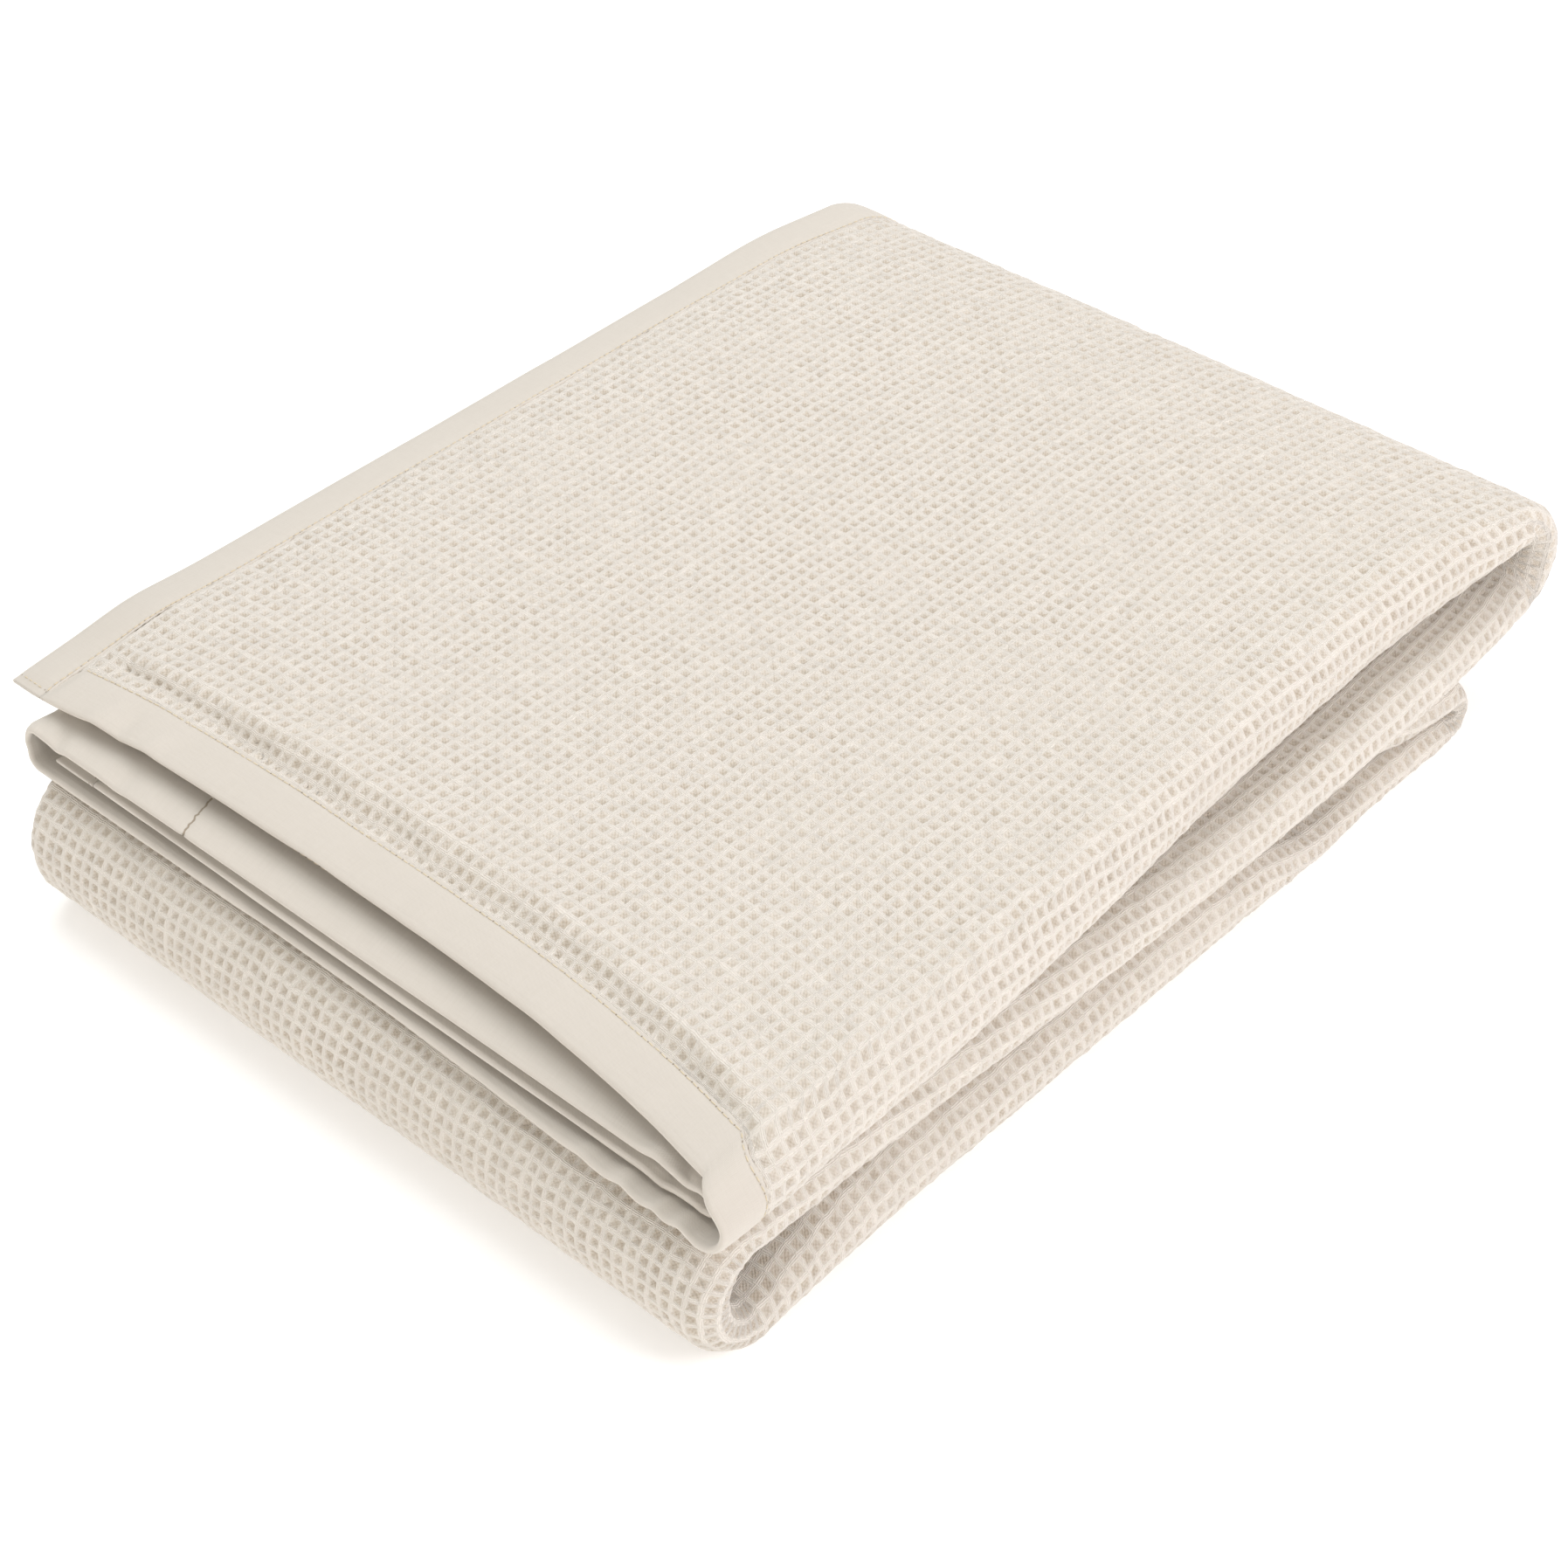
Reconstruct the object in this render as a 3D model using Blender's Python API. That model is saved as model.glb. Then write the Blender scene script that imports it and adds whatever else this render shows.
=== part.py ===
# Folded waffle weave cotton blanket with a plain bound edge on all four sides.
#
# The flat cloth is folded twice. The first folding lays four layers over each other
# across Y: a free edge on top, a big loop along the front, a back fold, an inner fold
# near the front and a free edge inside. The second folding lays that packet back and
# forth along X: a top run, a middle run, a bottom run and a short tuck under the middle
# run. All sizes are in millimetres until the meshes are made.

import math

import bmesh
import bpy
import numpy as np
from mathutils import Vector

CLOTH = 2.2            # thickness of the waffle cloth
PRESSED = 0.8          # the same cloth where a binding holds it
BINDING = 2.4          # thickness over both walls of a binding
WALL = 0.5             # thickness of one wall of a binding
WIDTH = 17.0           # width of a binding
SPINE = 2.7            # solid folded edge of a binding
GAP = 0.3              # space between pieces
TAPER = 2.2            # length over which the cloth swells beside a binding

SECOND = 0.66          # height of the second layer in the packet, as a share
THIRD = 0.33           # height of the third layer in the packet, as a share
LOOP_SHARE = 0.55      # depth of the big loop as a share of the packet's height
LOOP_MOST = 14.0       # greatest depth of the big loop
INNER_SHARE = 0.5      # how far the inner fold stops behind the front, as a share
INNER_LEAST = 8.0      # and the least of that distance
FREE_BACK = 6.0        # how far the inner free edge stops before the back fold
EDGE_REACH = 40.0      # length over which the top layer slopes to its bound edge
EDGE_SLOPE = 4.5       # how far it slopes down, on the top run only
SLOPE_CURVE = 1.6      # how much of that slope lies near the edge
SLOPE_FADE = 80.0      # length before the far turn over which the slope fades out
EDGE_RIGID = 20.0      # length of the top run's end that shifts as one
EDGE_FADE = 90.0       # where that shift has faded to nothing
DROP_FADE = 34.0       # where the sag of that end has faded to nothing
SKEW = 0.011           # slant of the far turn across Y
SKEW_FROM = 290.0      # place along X where the slant starts
SKEW_ABOUT = 110.0     # place along Y that it leaves alone

# Each run: place along X, underside and top of the packet, front loop, bound edge of
# the top layer, and back fold.
RUN_COLUMNS = ("x", "low", "high", "front", "edge", "back")
TOP_RUN = (
    (0.0, 45.0, 66.5, -4.0, 309.5, 292.0),
    (20.0, 44.6, 69.5, -5.0, 308.5, 292.5),
    (44.0, 44.5, 74.0, -5.0, 306.5, 293.0),
    (90.0, 44.6, 73.5, -4.5, 306.5, 293.0),
    (150.0, 45.0, 73.0, -1.0, 307.5, 293.0),
    (210.0, 45.0, 72.5, 4.0, 308.0, 293.0),
    (270.0, 45.5, 73.0, 7.0, 308.0, 292.0),
    (320.0, 46.0, 73.5, 8.0, 307.5, 292.0),
    (355.0, 49.0, 74.0, 5.5, 305.0, 291.0),
    (386.0, 58.0, 73.0, 0.0, 300.0, 288.0),
)
MIDDLE_RUN = (
    (386.0, 30.5, 45.0, -2.5, 293.0, 286.0),
    (350.0, 26.8, 44.0, -4.0, 294.0, 286.0),
    (290.0, 26.0, 43.5, -5.5, 294.0, 287.0),
    (230.0, 25.0, 43.5, -5.5, 294.0, 287.0),
    (160.0, 25.0, 43.5, -3.0, 293.0, 287.0),
    (80.0, 25.6, 43.5, 0.0, 291.0, 286.0),
    (35.0, 27.5, 43.4, 0.5, 290.0, 286.0),
    (12.0, 29.5, 43.5, 0.0, 288.0, 286.0),
)
BOTTOM_RUN = (
    (12.0, 0.0, 14.5, -4.0, 284.0, 281.0),
    (50.0, 0.0, 23.0, -4.0, 288.0, 284.0),
    (130.0, 0.0, 23.2, -4.5, 292.0, 287.0),
    (200.0, 0.0, 22.8, -5.0, 292.0, 287.0),
    (240.0, 0.0, 20.0, -4.5, 292.0, 287.0),
    (268.0, 0.0, 12.4, -3.5, 292.0, 287.0),
    (310.0, 0.0, 12.0, -2.0, 291.0, 286.0),
    (348.0, 0.0, 11.6, -2.5, 290.0, 285.0),
)
TUCK_RUN = (
    (348.0, 13.2, 25.4, -2.0, 289.0, 284.0),
    (330.0, 13.0, 25.1, 6.0, 290.5, 285.5),
    (284.0, 13.0, 24.8, 12.0, 293.0, 288.0),
)

# Each turn of the packet: side it turns to, reach of its outer and inner face, whether
# the underside is the outer face, how far the back is drawn in, and facets round it.
BEND_COLUMNS = ("side", "outer", "inner", "under_outside", "drawn", "facets")
BENDS = {
    "far": (1, 20.5, 7.0, False, 5.0, 8),
    "near": (-1, 22.0, 7.0, True, 3.0, 8),
    "small": (1, 13.0, 2.5, True, 2.0, 6),
}

# The top run's end is uneven: how far each place of the section lies in from the end
# and how far it sags. A place counts folds: 0 bound edge, 1 and 2 the ends of the big
# loop, 3 and 4 of the back fold, 5 and 6 of the inner fold, 7 the inner free edge.
END_COLUMNS = ("place", "inward", "sag")
END_SHAPE = (
    (0.0, 14.0, 0.0),
    (0.05, 12.5, 0.0),
    (0.18, 15.0, 0.0),
    (0.5, 16.5, 0.0),
    (0.8, 12.5, 0.0),
    (0.92, 7.5, 0.0),
    (1.0, 2.5, 0.0),
    (1.5, -4.0, 0.0),
    (2.0, -3.5, 0.0),
    (2.4, 1.5, 0.0),
    (3.0, 2.0, 0.0),
    (4.0, 4.5, 1.5),
    (4.5, 5.0, 3.0),
    (5.0, 3.5, 2.0),
    (6.0, 3.0, 1.5),
    (7.0, 5.0, 1.0),
)

# Distances from an edge of the blanket where its pieces have points: the binding's edge,
# its spine, the cloth's own edge, the binding's rim, clear of the rim, and full cloth.
EDGE_STEPS = (0.0, SPINE, SPINE + GAP, WIDTH, WIDTH + GAP, WIDTH + GAP + TAPER)
BINDING_STEPS = (0, 1, 3)
HELD_STEP = 4

# Places along X where the runs are cut, between their edge steps.
TOP_PLACES = (31.0, 44.0, 62.0, 100.0, 155.0, 215.0, 275.0, 325.0, 357.0, 386.0)
MIDDLE_PLACES = (386.0, 350.0, 290.0, 225.0, 155.0, 80.0, 35.0, 12.0)
BOTTOM_PLACES = (12.0, 50.0, 125.0, 200.0, 238.0, 268.0, 310.0, 348.0)
TUCK_PLACES = (348.0, 322.0)

# Shares of a layer's length where it has points, and facets round each fold.
TOP_LAYER_SHARES = (0.12, 0.45, 0.78)
LAYER_SHARES = (0.33, 0.67)
LOOP_FACETS = 8
BACK_FACETS = 5
INNER_FACETS = 4
BACK_ROUND = 0.55      # reach of the back fold as a share of the space between its layers
INNER_ROUND = 0.66     # the same for the inner fold
LEAST_MITRE = 0.6      # limit that keeps sharp corners from reaching too far


# Value of one named column of a table at a place, on a smooth line through its rows.
def smooth(rows, columns, name, at):
    keys = np.array([row[0] for row in rows])
    values = np.array([row[columns.index(name)] for row in rows])
    if keys[0] > keys[-1]:
        keys = keys[::-1]
        values = values[::-1]
    at = min(max(at, keys[0]), keys[-1])
    slopes = np.gradient(values, keys)
    index = int(np.clip(np.searchsorted(keys, at, side="right") - 1, 0, len(keys) - 2))
    step = keys[index + 1] - keys[index]
    u = (at - keys[index]) / step
    start = (2 * u**3 - 3 * u**2 + 1) * values[index]
    rise = (u**3 - 2 * u**2 + u) * step * slopes[index]
    finish = (3 * u**2 - 2 * u**3) * values[index + 1]
    fall = (u**3 - u**2) * step * slopes[index + 1]
    return float(start + rise + finish + fall)


# A station is one cut across the packet: a foot point in X and Z, the direction of its
# height, the height, the Y places of the loop, the bound edge and the back fold, and
# whether it slants with the far turn.
def run_station(rows, x, upright, top_run=False):
    low = smooth(rows, RUN_COLUMNS, "low", x)
    high = smooth(rows, RUN_COLUMNS, "high", x)
    station = {
        "foot": (x, low) if upright else (x, high),
        "way": (0.0, 1.0) if upright else (0.0, -1.0),
        "height": high - low,
        "from_end": x if top_run else None,
        "slanted": rows in (TOP_RUN, MIDDLE_RUN),
    }
    for name in ("front", "edge", "back"):
        station[name] = smooth(rows, RUN_COLUMNS, name, x)
    return station


def bend_stations(before, after, name):
    bend = dict(zip(BEND_COLUMNS, BENDS[name]))
    start = dict(zip(RUN_COLUMNS, before))
    finish = dict(zip(RUN_COLUMNS, after))
    from_above = start["high"] > finish["high"]
    outer_from = start["high"] if from_above else start["low"]
    outer_to = finish["low"] if from_above else finish["high"]
    inner_from = start["low"] if from_above else start["high"]
    inner_to = finish["high"] if from_above else finish["low"]
    stations = []
    for count in range(1, bend["facets"]):
        share = count / bend["facets"]
        across = math.cos(math.pi * share)
        out = bend["side"] * math.sin(math.pi * share)
        outer = Vector((start["x"] + bend["outer"] * out,
                        (outer_from + outer_to) / 2 + (outer_from - outer_to) / 2 * across))
        inner = Vector((start["x"] + bend["inner"] * out,
                        (inner_from + inner_to) / 2 + (inner_from - inner_to) / 2 * across))
        foot = outer if bend["under_outside"] else inner
        head = inner if bend["under_outside"] else outer
        way = (head - foot).normalized()
        station = {
            "foot": tuple(foot),
            "way": tuple(way),
            "height": (head - foot).length,
            "from_end": None,
            "slanted": name == "far",
        }
        for key in ("front", "edge", "back"):
            station[key] = start[key] * (1 - share) + finish[key] * share
        station["edge"] -= bend["drawn"] * abs(out)
        station["back"] -= bend["drawn"] * abs(out)
        stations.append(station)
    return stations


# All the cuts along the packet, from the top run's end to the tuck's end.
def all_stations():
    end = TUCK_RUN[-1][0]
    last_places = tuple(end + step for step in reversed(EDGE_STEPS))
    stations = [run_station(TOP_RUN, x, True, True) for x in EDGE_STEPS + TOP_PLACES]
    stations += bend_stations(TOP_RUN[-1], MIDDLE_RUN[0], "far")
    stations += [run_station(MIDDLE_RUN, x, False) for x in MIDDLE_PLACES]
    stations += bend_stations(MIDDLE_RUN[-1], BOTTOM_RUN[0], "near")
    stations += [run_station(BOTTOM_RUN, x, True) for x in BOTTOM_PLACES]
    stations += bend_stations(BOTTOM_RUN[-1], TUCK_RUN[0], "small")
    stations += [run_station(TUCK_RUN, x, False) for x in TUCK_PLACES + last_places]
    return stations


# Points round a fold from one height to another, reaching out along Y.
def fold(centre, start, finish, reach, facets, first_place):
    points = []
    for count in range(facets + 1):
        share = count / facets
        height = (start + finish) / 2 + (start - finish) / 2 * math.cos(math.pi * share)
        y = centre + reach * math.sin(math.pi * share)
        points.append((y, height, first_place + share))
    return points


# Points inside a layer, at the given shares of the way between two Y places.
def layer(start, finish, height, shares, first_place):
    return [(start + (finish - start) * share, height, first_place + share) for share in shares]


# How much of the bound edge's slope a cut of the top run has.
def slope_share(from_end):
    if from_end is None:
        return 0.0
    return min(1.0, (TOP_RUN[-1][0] - from_end) / SLOPE_FADE)


# The folded centre line of the cloth in one cut: (y, height, place) from the bound edge
# of the top layer to the inner free edge. Every cut has the same number of points.
def section(station):
    height = station["height"]
    first = height - CLOTH / 2
    fourth = CLOTH / 2
    second = fourth + SECOND * (first - fourth)
    third = fourth + THIRD * (first - fourth)
    depth = min(LOOP_SHARE * height, LOOP_MOST)
    loop_y = station["front"] + depth
    back_reach = BACK_ROUND * (second - fourth)
    back_y = station["back"] - back_reach
    inner_reach = INNER_ROUND * (second - third)
    inner_y = station["front"] + max(INNER_SHARE * height, INNER_LEAST) + inner_reach
    free_y = back_y - FREE_BACK
    edge = station["edge"]
    slope = EDGE_SLOPE * slope_share(station["from_end"])
    ys = [edge - step for step in EDGE_STEPS]
    last = ys[-1]
    ys += [last + (loop_y - last) * share for share in TOP_LAYER_SHARES]
    points = []
    for y in ys:
        lowered = slope * max(0.0, 1 - (edge - y) / EDGE_REACH) ** SLOPE_CURVE
        points.append((y, first - lowered, (edge - y) / (edge - loop_y)))
    points += fold(loop_y, first, fourth, -depth, LOOP_FACETS, 1.0)
    points += layer(loop_y, back_y, fourth, LAYER_SHARES, 2.0)
    points += fold(back_y, fourth, second, back_reach, BACK_FACETS, 3.0)
    points += layer(back_y, inner_y, second, LAYER_SHARES, 4.0)
    points += fold(inner_y, second, third, -inner_reach, INNER_FACETS, 5.0)
    ys = [free_y - step for step in reversed(EDGE_STEPS)]
    points += [((inner_y + ys[0]) / 2, third, 6.5)]
    points += [(y, third, 6.0 + (y - inner_y) / (free_y - inner_y)) for y in ys]
    return points


# Shift of a point of the top run near its uneven end: (along X, down).
def end_shift(from_end, place):
    if from_end is None or from_end >= EDGE_FADE:
        return 0.0, 0.0
    u = max(0.0, (from_end - EDGE_RIGID) / (EDGE_FADE - EDGE_RIGID))
    hold = 1 - u * u * (3 - 2 * u)
    sag = max(0.0, 1 - from_end / DROP_FADE)
    inward = smooth(END_SHAPE, END_COLUMNS, "inward", place)
    drop = smooth(END_SHAPE, END_COLUMNS, "sag", place)
    return inward * hold, drop * sag


# Shift along X of a point near the slanted far turn.
def skew_shift(x, y):
    u = min(1.0, max(0.0, (x - SKEW_FROM) / (TOP_RUN[-1][0] - SKEW_FROM)))
    return -SKEW * (y - SKEW_ABOUT) * u * u * (3 - 2 * u)


# The whole folded centre sheet as an array [station, point, xyz].
def centre_sheet():
    sheet = []
    for station in all_stations():
        cut = []
        for y, height, place in section(station):
            along, down = end_shift(station["from_end"], place)
            along += skew_shift(station["foot"][0], y) if station["slanted"] else 0.0
            x = station["foot"][0] + station["way"][0] * height + along
            z = station["foot"][1] + station["way"][1] * height - down
            cut.append((x, y, z))
        sheet.append(cut)
    return np.array(sheet)


def unit(vectors):
    return vectors / np.maximum(np.linalg.norm(vectors, axis=-1, keepdims=True), 1e-9)


# Offset directions at every point: the mean of the facets round it, lengthened so that
# each facet moves by the full distance.
def offset_directions(sheet):
    across = sheet[1:, 1:] - sheet[:-1, :-1]
    other = sheet[:-1, 1:] - sheet[1:, :-1]
    facets = unit(np.cross(across, other))
    rows, points = sheet.shape[:2]
    total = np.zeros_like(sheet)
    for i, j in ((0, 0), (0, 1), (1, 0), (1, 1)):
        total[i:rows - 1 + i, j:points - 1 + j] += facets
    mean = unit(total)
    kept = np.zeros((rows, points))
    count = np.zeros((rows, points))
    for i, j in ((0, 0), (0, 1), (1, 0), (1, 1)):
        block = (slice(i, rows - 1 + i), slice(j, points - 1 + j))
        kept[block] += (mean[block] * facets).sum(axis=-1)
        count[block] += 1
    return mean / np.maximum(kept / count, LEAST_MITRE)[..., None]


# Closed body over a grid of rows, each row a closed outline of the same length. Each
# side of the outline is marked forward or not, and its facets are cut along the same
# diagonal either way, so that facets of two pieces stay parallel where they lie close.
def tube(rows, forward):
    count = len(rows[0])
    vertices = [tuple(point) for row in rows for point in row]
    faces = []
    for i in range(len(rows) - 1):
        for j in range(count):
            a = i * count + j
            b = i * count + (j + 1) % count
            if forward[j]:
                faces.append((a, b, b + count))
                faces.append((a, b + count, a + count))
            else:
                faces.append((a, b, a + count))
                faces.append((b, b + count, a + count))
    return vertices, faces, count


# The two ends of the waffle cloth's body are closed by strips of four-sided facets
# between its upper and its lower line of points.
def close_with_strip(faces, first, count):
    half = count // 2
    for j in range(half - 1):
        a = first + j
        b = first + j + 1
        c = first + count - 2 - j
        d = first + count - 1 - j
        faces.append((a, b, c))
        faces.append((a, c, d))


# Which sides of a channel outline run away from the cloth's edge, and how its three
# arms close its ends.
CHANNEL_FORWARD = (True, True, False, True, True, True, False, True)
CHANNEL_END = ((0, 1, 2), (0, 2, 3), (0, 3, 4), (0, 4, 7), (4, 5, 6), (4, 6, 7))


def channel_body(bodies, last):
    forward = [side != last for side in CHANNEL_FORWARD]
    vertices, faces, count = tube(bodies, forward)
    for first in (0, (len(bodies) - 1) * count):
        for a, b, c in CHANNEL_END:
            faces.append((first + a, first + b, first + c))
    return vertices, faces


# Places of the sheet where the cloth itself has points.
def cloth_places(count):
    return [i for i in range(count) if i not in BINDING_STEPS and count - 1 - i not in BINDING_STEPS]


def is_held(place, count):
    return min(place, count - 1 - place) <= HELD_STEP


# Body of the waffle cloth: pressed thin where the bindings hold it.
def cloth_body(sheet, directions):
    rows, points = sheet.shape[:2]
    bodies = []
    kept_rows = cloth_places(rows)
    kept_points = cloth_places(points)
    for i in kept_rows:
        upper = []
        lower = []
        for j in kept_points:
            held = is_held(i, rows) or is_held(j, points)
            half = (PRESSED if held else CLOTH) / 2
            upper.append(sheet[i, j] + directions[i, j] * half)
            lower.append(sheet[i, j] - directions[i, j] * half)
        bodies.append(upper + lower[::-1])
    half = len(kept_points)
    forward = [True] * half + [False] * half
    vertices, faces, count = tube(bodies, forward)
    close_with_strip(faces, 0, count)
    close_with_strip(faces, (len(bodies) - 1) * count, count)
    return vertices, faces


# Outline of a binding across its width at one place of its edge.
def channel(edge, spine, rim, edge_way, spine_way, rim_way):
    outer = BINDING / 2
    inner = outer - WALL
    return [
        edge + edge_way * outer,
        rim + rim_way * outer,
        rim + rim_way * inner,
        spine + spine_way * inner,
        spine - spine_way * inner,
        rim - rim_way * inner,
        rim - rim_way * outer,
        edge - edge_way * outer,
    ]


# A binding that runs along the packet, on the first or the last point of each cut.
def side_binding(sheet, directions, last):
    rows, points = sheet.shape[:2]
    picks = [points - 1 - step if last else step for step in BINDING_STEPS]
    bodies = []
    for i in [0] + cloth_places(rows) + [rows - 1]:
        places = [sheet[i, j] for j in picks]
        ways = [directions[i, j] for j in picks]
        bodies.append(channel(*places, *ways))
    return channel_body(bodies, last)


# A binding across one end of the packet, between the two side bindings.
def end_binding(sheet, directions, last):
    rows, points = sheet.shape[:2]
    picks = [rows - 1 - step if last else step for step in BINDING_STEPS]
    bodies = []
    for j in range(HELD_STEP, points - HELD_STEP):
        places = [sheet[i, j] for i in picks]
        ways = [directions[i, j] for i in picks]
        bodies.append(channel(*places, *ways))
    return channel_body(bodies, last)


def cotton(name, colour, roughness):
    material = bpy.data.materials.new(name)
    material.use_nodes = True
    shader = material.node_tree.nodes["Principled BSDF"]
    shader.inputs["Base Color"].default_value = (*colour, 1.0)
    shader.inputs["Roughness"].default_value = roughness
    material.diffuse_color = (*colour, 1.0)
    return material


def add_piece(name, body, origin, material):
    vertices, faces = body
    mesh = bpy.data.meshes.new(name)
    metres = [tuple((np.array(point) - origin) * 0.001) for point in vertices]
    mesh.from_pydata(metres, [], faces)
    edit = bmesh.new()
    edit.from_mesh(mesh)
    bmesh.ops.recalc_face_normals(edit, faces=edit.faces)
    if edit.calc_volume(signed=True) < 0:
        bmesh.ops.reverse_faces(edit, faces=edit.faces)
    edit.to_mesh(mesh)
    edit.free()
    mesh.materials.append(material)
    piece = bpy.data.objects.new(name, mesh)
    bpy.context.scene.collection.objects.link(piece)


def main():
    for item in list(bpy.data.objects):
        bpy.data.objects.remove(item, do_unlink=True)
    sheet = centre_sheet()
    directions = offset_directions(sheet)
    bodies = {
        "waffle_panel": cloth_body(sheet, directions),
        "side_binding_a": side_binding(sheet, directions, False),
        "side_binding_c": side_binding(sheet, directions, True),
        "end_binding_b": end_binding(sheet, directions, False),
        "end_binding_d": end_binding(sheet, directions, True),
    }
    corners = np.array([point for vertices, faces in bodies.values() for point in vertices])
    low = corners.min(axis=0)
    high = corners.max(axis=0)
    origin = np.array(((low[0] + high[0]) / 2, (low[1] + high[1]) / 2, low[2]))
    waffle = cotton("waffle_cotton", (0.80, 0.75, 0.68), 0.95)
    plain = cotton("plain_cotton", (0.82, 0.77, 0.69), 0.9)
    for name, body in bodies.items():
        add_piece(name, body, origin, waffle if name == "waffle_panel" else plain)


main()
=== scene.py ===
import math

import bpy
import numpy as np
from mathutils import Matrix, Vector


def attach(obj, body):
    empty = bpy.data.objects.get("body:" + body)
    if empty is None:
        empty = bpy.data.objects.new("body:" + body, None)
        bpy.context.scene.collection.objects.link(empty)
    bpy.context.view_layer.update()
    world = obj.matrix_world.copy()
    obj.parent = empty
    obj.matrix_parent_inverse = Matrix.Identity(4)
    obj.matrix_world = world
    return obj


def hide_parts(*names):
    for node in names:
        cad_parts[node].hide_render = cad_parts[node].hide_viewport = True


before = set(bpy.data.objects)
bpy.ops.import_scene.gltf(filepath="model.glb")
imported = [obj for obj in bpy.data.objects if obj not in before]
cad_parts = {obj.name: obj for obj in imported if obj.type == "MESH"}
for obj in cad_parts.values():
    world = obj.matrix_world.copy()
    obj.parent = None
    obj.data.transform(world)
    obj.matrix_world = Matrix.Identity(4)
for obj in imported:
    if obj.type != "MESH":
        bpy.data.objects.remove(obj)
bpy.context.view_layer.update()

bpy.ops.object.select_all(action="DESELECT")
print("frame loaded")

# Folded waffle weave blanket. The cloth's folds are worked out in millimetres, in the
# packet's own axes: X along its runs, Y across its layers, Z up.

packet = {
    "middle": (198.82, 151.545, 0.0),  # the frame's origin in the packet's axes
    "cloth": 2.2,                      # thickness of the waffle cloth
    "secondLayer": 0.66,               # heights of the inner layers, as shares
    "thirdLayer": 0.33,
    "loopShare": 0.55,                 # depth of the big front loop
    "loopMost": 14.0,
    "backRound": 0.55,                 # roundness of the back fold and the inner fold
    "innerRound": 0.66,
    "innerShare": 0.5,                 # how far in the inner fold lies
    "innerLeast": 8.0,
    "freeBack": 6.0,                   # how far the free edge stops short of the back
    "edgeReach": 40.0,                 # slope of the top layer to its bound edge
    "edgeSlope": 4.5,
    "slopeCurve": 1.6,
    "slopeFade": 80.0,
    "endRigid": 20.0,                  # the uneven end of the top run
    "endFade": 90.0,
    "sagFade": 34.0,
    "skew": 0.011,                     # slant of the far turn
    "skewFrom": 290.0,
    "skewAbout": 110.0,
    "counts": (90, 90, 30, 50, 30, 40, 30),   # points on each line and arc of a cut
}

# Each run: place along X, underside and top, front loop, bound edge and back fold.
runColumns = ("x", "low", "high", "front", "edge", "back")
topRun = (
    (0, 45, 66.5, -4, 309.5, 292),
    (20, 44.6, 69.5, -5, 308.5, 292.5),
    (44, 44.5, 74, -5, 306.5, 293),
    (90, 44.6, 73.5, -4.5, 306.5, 293),
    (150, 45, 73, -1, 307.5, 293),
    (210, 45, 72.5, 4, 308, 293),
    (270, 45.5, 73, 7, 308, 292),
    (320, 46, 73.5, 8, 307.5, 292),
    (355, 49, 74, 5.5, 305, 291),
    (386, 58, 73, 0, 300, 288),
)
middleRun = (
    (386, 30.5, 45, -2.5, 293, 286),
    (350, 26.8, 44, -4, 294, 286),
    (290, 26, 43.5, -5.5, 294, 287),
    (230, 25, 43.5, -5.5, 294, 287),
    (160, 25, 43.5, -3, 293, 287),
    (80, 25.6, 43.5, 0, 291, 286),
    (35, 27.5, 43.4, 0.5, 290, 286),
    (12, 29.5, 43.5, 0, 288, 286),
)
bottomRun = (
    (12, 0, 14.5, -4, 284, 281),
    (50, 0, 23, -4, 288, 284),
    (130, 0, 23.2, -4.5, 292, 287),
    (200, 0, 22.8, -5, 292, 287),
    (240, 0, 20, -4.5, 292, 287),
    (268, 0, 12.4, -3.5, 292, 287),
    (310, 0, 12, -2, 291, 286),
    (348, 0, 11.6, -2.5, 290, 285),
)
tuckRun = (
    (348, 13, 25.8, -2.6, 289, 284),
    (330, 12.8, 25.5, -0.5, 290.5, 285.5),
    (310, 12.9, 25.2, 4.5, 291.5, 286.5),
    (284, 13, 24.8, 12, 293, 288),
)

# Each turn: its side, reach of its outer and inner face, whether the underside lies
# outside, and how far the back is drawn in.
farTurn = {"side": 1, "outer": 20.5, "inner": 7.0, "underOutside": False, "drawn": 5.0}
nearTurn = {"side": -1, "outer": 22.0, "inner": 7.0, "underOutside": True, "drawn": 3.0}
smallTurn = {"side": 1, "outer": 13.0, "inner": 2.5, "underOutside": True, "drawn": 2.0}
runs = {"top": topRun, "middle": middleRun, "bottom": bottomRun, "tuck": tuckRun}
turns = {
    "far": (topRun, middleRun, farTurn),
    "near": (middleRun, bottomRun, nearTurn),
    "small": (bottomRun, tuckRun, smallTurn),
}

# How far each place of the top run's end lies in from the end, and how far it sags. A
# place counts folds: 0 bound edge, 1 and 2 big loop, 3 and 4 back fold, 5 and 6 inner
# fold, 7 free edge.
endColumns = ("place", "inward", "sag")
endShape = (
    (0, 14, 0),
    (0.05, 12.5, 0),
    (0.18, 15, 0),
    (0.5, 16.5, 0),
    (0.8, 12.5, 0),
    (0.92, 7.5, 0),
    (1, 2.5, 0),
    (1.5, -4, 0),
    (2, -3.5, 0),
    (2.4, 1.5, 0),
    (3, 2, 0),
    (4, 4.5, 1.5),
    (4.5, 5, 3),
    (5, 3.5, 2),
    (6, 3, 1.5),
    (7, 5, 1),
)

# The stretches of the packet in order, each with its number of waffle cells.
stretches = {"top": 88, "far": 16, "middle": 84, "near": 16, "bottom": 76, "small": 9, "tuck": 16}
startOf = {}
alongCells = 0
for stretch, cellCount in stretches.items():
    startOf[stretch] = alongCells
    alongCells += cellCount

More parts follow.
